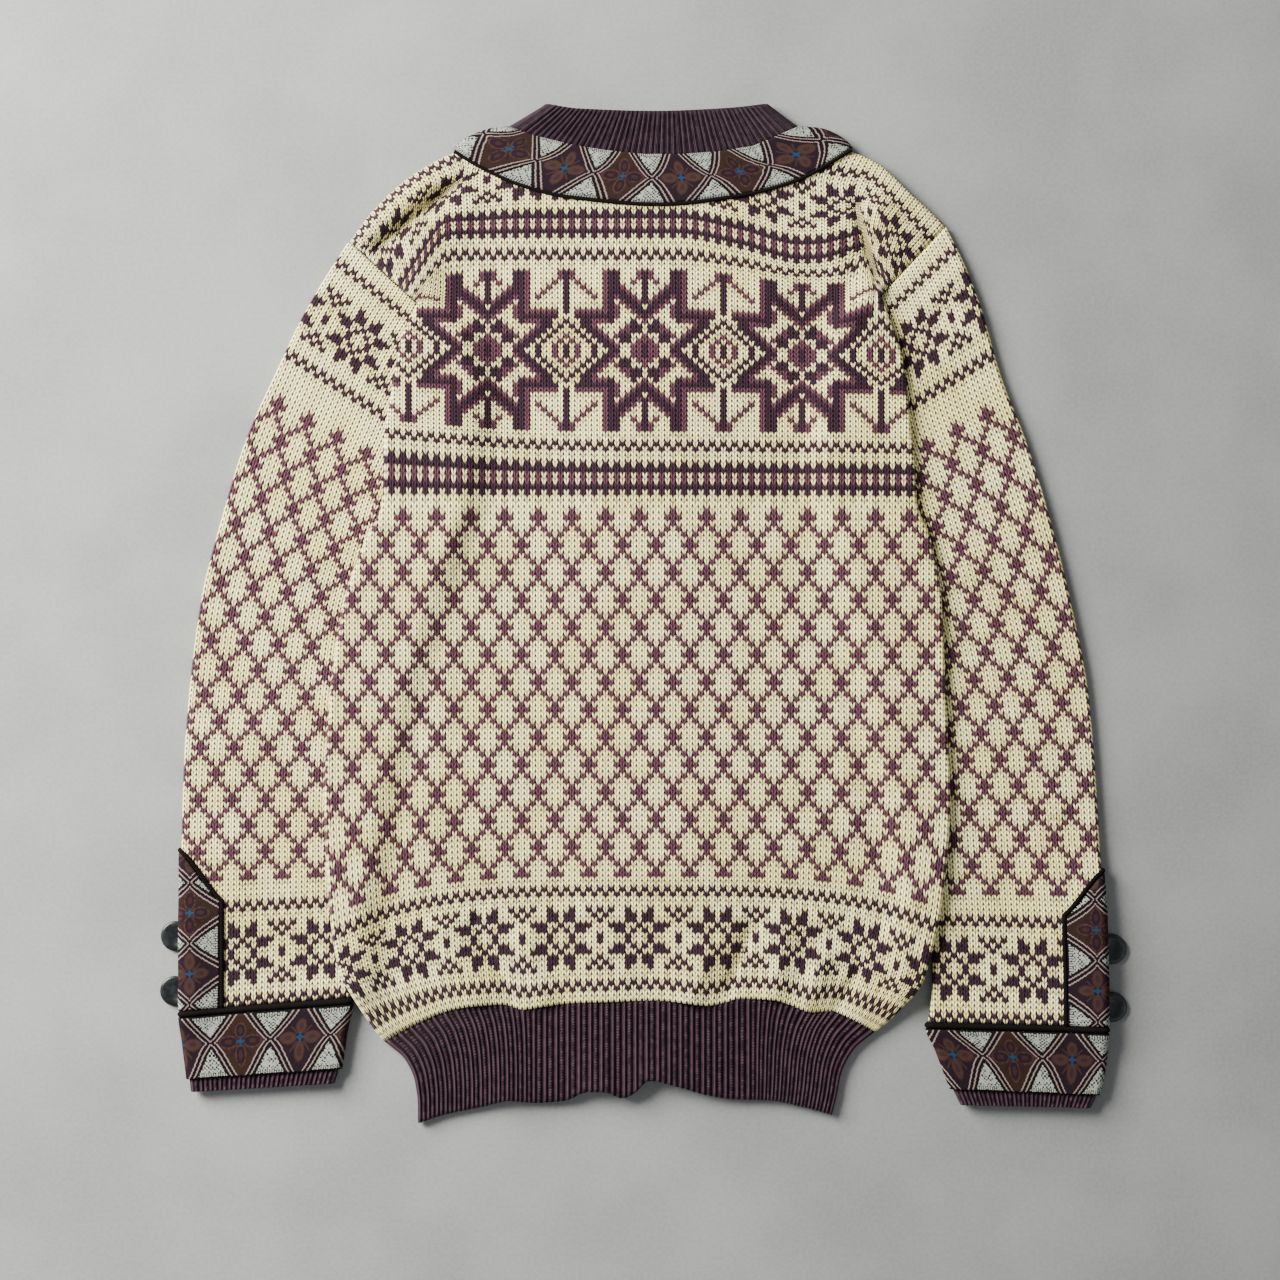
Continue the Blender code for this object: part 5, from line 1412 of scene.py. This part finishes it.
def placket(side):
    """The ribbon, folded round the sleeve's outer edge, and the braid along its cut edges."""
    half = np.concatenate([FOLD_STEPS, np.linspace(AFTER_FOLD, PLACKET_HALF, 18)])
    across = np.concatenate([-half[:0:-1], half])
    bottom = station_after(side, station_after(side, BRAID_LINE, -BRAID_HALF), -SEAM)
    upper = across >= 0.0
    edge = round_edge(PLACKET_HALF - np.abs(across) + 0.4, PLACKET_ROLL)
    folded = np.where(across > -6.0, across, across + PLACKET_HALF)
    places, pattern = [], []
    last = PLACKET_ROWS - 1
    for thick, order in ((RIBBON, range(PLACKET_ROWS)), (0.0, (last, PLACKET_ROWS // 2, 0))):
        for t in np.array(order) / last:
            station = bottom + (point_edge(across) - bottom) * t
            rim = float(round_edge(min(t, 1 - t) * 110.0 + 0.5, PLACKET_ROLL))
            lifted = PLACKET_GAP + thick * np.minimum(0.3 + 0.7 * rim * edge, 1.0)
            places.append(np.stack(ring(side, station, lifted, upper, np.abs(across)), axis=-1))
            along = section(side, OUTER_Y, station) - PLACKET_FLOWER[side]
            pattern.append(np.stack([along * 0.95, (folded - PLACKET_CENTRE) * 0.93], axis=-1))
    places.append(places[0])
    pattern.append(pattern[0])
    piece = lay_cloth("woven_placket_" + side, np.array(places), np.array(pattern))
    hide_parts("placket_trim_" + side)

    stations = np.concatenate([np.linspace(bottom, point_edge(PLACKET_HALF) - 0.05, EDGING_ROWS),
                               point_edge(half[::-1]) - 0.07])
    distances = np.concatenate([np.full(EDGING_ROWS, PLACKET_HALF + 0.9), half[::-1]])
    stations = np.concatenate([stations, stations[-2::-1]])
    on_top = np.arange(len(stations)) < len(distances)
    distances = np.concatenate([distances, distances[-2::-1]])
    base, high = (np.stack(ring(side, stations, np.full_like(stations, out), on_top, distances),
                           axis=-1) for out in (PLACKET_GAP, PLACKET_GAP + BRAID))
    up = unit(high - base)
    outwards = unit(np.cross(np.gradient(base, axis=0), up))
    edging = braid_along("braid_placket_" + side, base, outwards, up, EDGING_WIDTH, EDGING_THICK)
    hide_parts("placket_braid_" + side)
    return piece, edging


plackets = {side: placket(side) for side in ("left", "right")}

# %% [markdown]
# The buttons are black and glossy, turned with a raised rim round a shallow dish. A profile
# that spins once round its axis gives exactly that, with enough steps for a clean round edge.

# %% Buttons
BUTTON_RADIUS, BUTTON_STEPS = 10.4, 40
# Half of the section, from the middle underneath to the middle on top, as shares of the radius
# and of the thickness.
PROFILE = [
    (0.0, 0.30), (0.30, 0.28), (0.55, 0.20), (0.68, 0.08), (0.78, 0.0), (0.90, 0.02),
    (0.97, 0.14), (1.0, 0.34), (1.0, 0.66), (0.97, 0.86), (0.88, 0.98), (0.74, 1.0),
    (0.62, 0.96), (0.52, 0.80), (0.34, 0.72), (0.0, 0.70)]
# Each button's name, its place and its thickness.
BUTTONS = [
    ("cuff_button_left_1", -323.5, -223.0, 3.0), ("cuff_button_left_2", -324.0, -261.0, 3.0),
    ("cuff_button_right_1", 323.5, -232.0, 3.0), ("cuff_button_right_2", 323.8, -272.0, 3.0)]
BUTTONS += [(f"front_button_{n + 1}", -12.5, -300.0 + 125.0 * n, 2.4) for n in range(5)]


def turned_button(name, x, y, thick):
    bm = bmesh.new()
    verts = [bm.verts.new((share * BUTTON_RADIUS * MM, 0.0, height * thick * MM))
             for share, height in PROFILE]
    edges = [bm.edges.new(pair) for pair in zip(verts, verts[1:])]
    bmesh.ops.spin(bm, geom=verts + edges, cent=(0, 0, 0), axis=(0, 0, 1), angle=math.tau,
                   steps=BUTTON_STEPS, use_merge=True)
    bmesh.ops.remove_doubles(bm, verts=bm.verts, dist=0.000001)
    bmesh.ops.translate(bm, vec=(x * MM, y * MM, 0.0), verts=bm.verts)
    bmesh.ops.recalc_face_normals(bm, faces=bm.faces)
    mesh = bpy.data.meshes.new("turned_" + name)
    bm.to_mesh(mesh)
    bm.free()
    mesh.shade_smooth()
    piece = into_scene("turned_" + name, mesh)
    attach(piece, "root")
    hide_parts(name)
    return piece


buttons = [turned_button(*row) for row in BUTTONS]
print(len(buttons), "buttons")

# %% [markdown]
# Ribbing shows the same legs of wool, but only on the ribs that stand up; between them the
# colour is painted dark as painted shade. Plum wool is spun from two shades, and a lighter mauve
# is painted along each rib's crest as a painted highlight.

# %% Ribbing, braid and gloss
RIB_DARK, RIB_LIGHT = (0.015, 0.006, 0.0108), (0.030, 0.0128, 0.021)
MAUVE, BLACK_THREAD = (0.074, 0.043, 0.058), (0.0040, 0.0026, 0.0026)
BUTTON_BLACK, BUTTON_WORN = (0.0035, 0.004, 0.0045), (0.010, 0.013, 0.013)


def rib_paint(name):
    paint = Paint(name, Roughness=0.93, Sheen_Weight=0.04, Sheen_Roughness=0.5,
                  Specular_IOR_Level=0.06)
    u, v = paint.uv("stitches")
    across = abs(u.part() - 0.5) * 2.0
    rib = (1.0 - across * across).most(0.0)
    beaded = (u.floor() * 0.5).part() > 0.25
    bead = ((v * 1.5 + across * 0.35).part() * math.pi).sine().most(0.0).power(0.7)
    leg = bead * beaded + (1.0 - beaded) * 0.85
    where = paint.here()
    fibre = paint.noise(2400.0, 3.0, where)
    streak = paint.noise(240.0, 2.0, where)
    height = rib * 0.5 + leg * rib * 0.5
    # Painted highlight: a lighter mauve is painted along the crest of each smooth rib, and in
    # patches on the tops of the beaded ribs.
    lit_crest = (1.0 - across * 3.2).most(0.0) * (1.0 - beaded)
    lit_crest = lit_crest + leg * rib * beaded * streak.soft(0.45, 0.60) * 0.5
    colour = paint.mix(streak.soft(0.3, 0.7), RIB_DARK, RIB_LIGHT)
    colour = paint.mix(lit_crest.least(1.0) * 0.7, colour, MAUVE)
    # Painted shade: the colour is darkened between the ribs and between the beads.
    shade = (0.06 + rib * 0.40 + leg * rib * 0.62) * (0.7 + fibre * 0.6)
    paint.shaded(colour, shade)
    paint.rough(0.88 + fibre * 0.08)
    paint.bump(height + fibre * 0.2, 0.0008)
    return paint.material


def braid_paint(name):
    paint = Paint(name, Roughness=0.85, Specular_IOR_Level=0.05)
    u, v = paint.uv("stitches")
    lean = abs(v - 0.5) * 2.2
    lit_crest = ((u * 0.75 + lean).part() * math.pi).sine().most(0.0).power(0.6)
    fibre = paint.noise(3000.0, 2.0)
    # Painted shade: the colour is darker between the plait's cords and lighter on their crests.
    shade = (0.35 + lit_crest * 0.75) * (0.7 + fibre * 0.6)
    paint.shaded(BLACK_THREAD, shade)
    paint.rough(0.75 + fibre * 0.2)
    paint.bump(lit_crest + fibre * 0.15, 0.0004)
    return paint.material


def button_paint(name):
    paint = Paint(name, Roughness=0.3, Coat_Weight=0.12, Coat_Roughness=0.15,
                  Specular_IOR_Level=0.25)
    cloud = paint.noise(180.0, 4.0)
    paint.colour(paint.mix(cloud.soft(0.4, 0.7), BUTTON_BLACK, BUTTON_WORN))
    paint.rough(0.26 + cloud * 0.14)
    paint.bump(paint.noise(900.0, 2.0), 0.00006)
    return paint.material


dress([hem_back, hem_left, hem_right, collar] + [cuff[1] for cuff in cuffs.values()],
      rib_paint("plum_ribbing"))
dress([piping] + [cuff[2] for cuff in cuffs.values()] + [pair[1] for pair in plackets.values()],
      braid_paint("black_braid"))
dress(buttons, button_paint("black_button"))

# %% [markdown]
# The ribbon is a jacquard weave: diamonds in a row, brown and plum by turns, each with a flower
# of four petals and a blue heart; two pale lines cross between them and pale triangles fill the
# edges. It is worked out from one diamond's coordinates, which are rounded to single threads
# first.

# %% The woven ribbon
DIAMOND = 40.0             # from one flower to the next, in millimetres
THREAD, DASH = 0.55, 1.65  # the width of a thread, and the length of one dash of the pale edge
PALE_EDGE, BLACK_EDGE, DASHES_FROM = 16.8, 17.4, 14.2  # heights above the middle of the ribbon
LINE_HALF = 0.55           # half the width of each of the two pale lines
BROWN_GROUND, PLUM_GROUND = (0.0190, 0.0090, 0.0062), (0.0105, 0.0044, 0.0080)
BROWN_RIM, PLUM_RIM = (0.052, 0.0235, 0.0150), (0.0250, 0.0120, 0.0130)
BROWN_PETAL, PLUM_PETAL = (0.036, 0.0170, 0.0125), (0.0125, 0.0050, 0.0092)
BROWN_CORE, PLUM_CORE = (0.036, 0.0155, 0.010), (0.017, 0.0075, 0.014)
BLUE_HEART, RIBBON_BORDER = (0.010, 0.028, 0.062), (0.0032, 0.0022, 0.0022)
PALE_LINE, PALE = (0.230, 0.165, 0.152), (0.270, 0.290, 0.245)


def oval(x, y, middle_x, middle_y, half_x, half_y):
    """Below 1 inside an oval of the weave."""
    return ((x - middle_x) / half_x).power(2.0) + ((y - middle_y) / half_y).power(2.0)


def ribbon_paint(name):
    paint = Paint(name, Roughness=0.8, Specular_IOR_Level=0.08)
    u, v = paint.uv("stitches")
    s = ((u / THREAD).floor() + 0.5) * THREAD
    t = ((v / THREAD).floor() + 0.5) * THREAD
    turn = s / DIAMOND + 0.5
    x = abs(turn.part() - 0.5) * DIAMOND
    y = abs(t)
    brown = (turn.floor() * 0.5).part() < 0.25
    edge = x - (DIAMOND / 2 - y.most(0.01).power(0.75) * 1.73)
    inside = edge < -3.1
    line = ((abs(edge + 2.3) < LINE_HALF) + (abs(edge - 1.2) < LINE_HALF)).least(1.0)
    pale = (edge > 4.0) * (y < PALE_EDGE)
    upright = oval(x, y, 0.0, 6.6, 3.3, 4.8)
    level = oval(x, y, 8.0, 0.0, 5.6, 3.2)
    radius = (x * x + y * y).power(0.5)
    leaf = (abs(x - y) < 0.8) * (radius > 3.0) * (radius < 9.5)
    petal = ((upright < 1.0) + (level < 1.0) + leaf * 0.8).least(1.0)
    rim = ((abs(upright - 1.05) < 0.25) + (abs(level - 1.05) < 0.22)).least(1.0) * (radius > 2.4)
    core = ((upright < 0.18) + (level < 0.16)).least(1.0)
    heart = ((x.least(y) < 0.8) * (radius < 2.8) + (radius < 1.6)).least(1.0)
    where = paint.here()
    fibre = paint.noise(2200.0, 2.0, where)
    slub = paint.noise(420.0, 2.0, where)
    ground = paint.mix(brown, PLUM_GROUND, BROWN_GROUND)
    # A petal has the other diamond's colour, and its core the colour of its own diamond.
    colour = paint.mix(petal, ground, paint.mix(brown, BROWN_PETAL, PLUM_PETAL))
    colour = paint.mix(core * 0.6, colour, paint.mix(brown, PLUM_CORE, BROWN_CORE))
    rims = paint.mix(brown, PLUM_RIM, BROWN_RIM)
    colour = paint.mix(rim * slub.soft(0.3, 0.55) * 0.8, colour, rims)
    colour = paint.mix(heart, colour, BLUE_HEART)
    colour = paint.mix(inside, BLACK_THREAD, colour)
    colour = paint.mix(line, colour, PALE_LINE)
    speck = ((s * 2.3).sine() * (t * 2.9).sine() > 0.10) * slub.soft(0.42, 0.52)
    dash = (y > DASHES_FROM) * ((s / DASH).part() < 0.45)
    white = paint.mix((speck + dash).least(1.0), PALE, BLACK_THREAD)
    colour = paint.mix(pale, colour, white)
    colour = paint.mix(y > BLACK_EDGE, colour, RIBBON_BORDER)
    threads = ((v / THREAD).part() * math.pi).sine().most(0.0) * 0.5
    threads = threads + ((u / THREAD).part() * math.pi).sine() * 0.5
    # Painted shade: the colour is darker at the edges of each thread of the weave, where they
    # dip.
    shade = (0.62 + threads * 0.42) * (0.72 + fibre * 0.56)
    paint.shaded(colour, shade)
    paint.rough(0.72 + fibre * 0.2)
    raised = petal * 0.5 + line * 0.6 + pale * 0.4 + threads * 0.5
    paint.bump(raised + fibre * 0.15, 0.0005)
    return paint.material


dress([trim] + [cuff[0] for cuff in cuffs.values()] + [pair[0] for pair in plackets.values()],
      ribbon_paint("woven_ribbon"))

# %% [markdown]
# The cloths are not declared here: the loop over the two sides does nothing.

# %% An empty loop over the sides
for side in ("left", "right"):
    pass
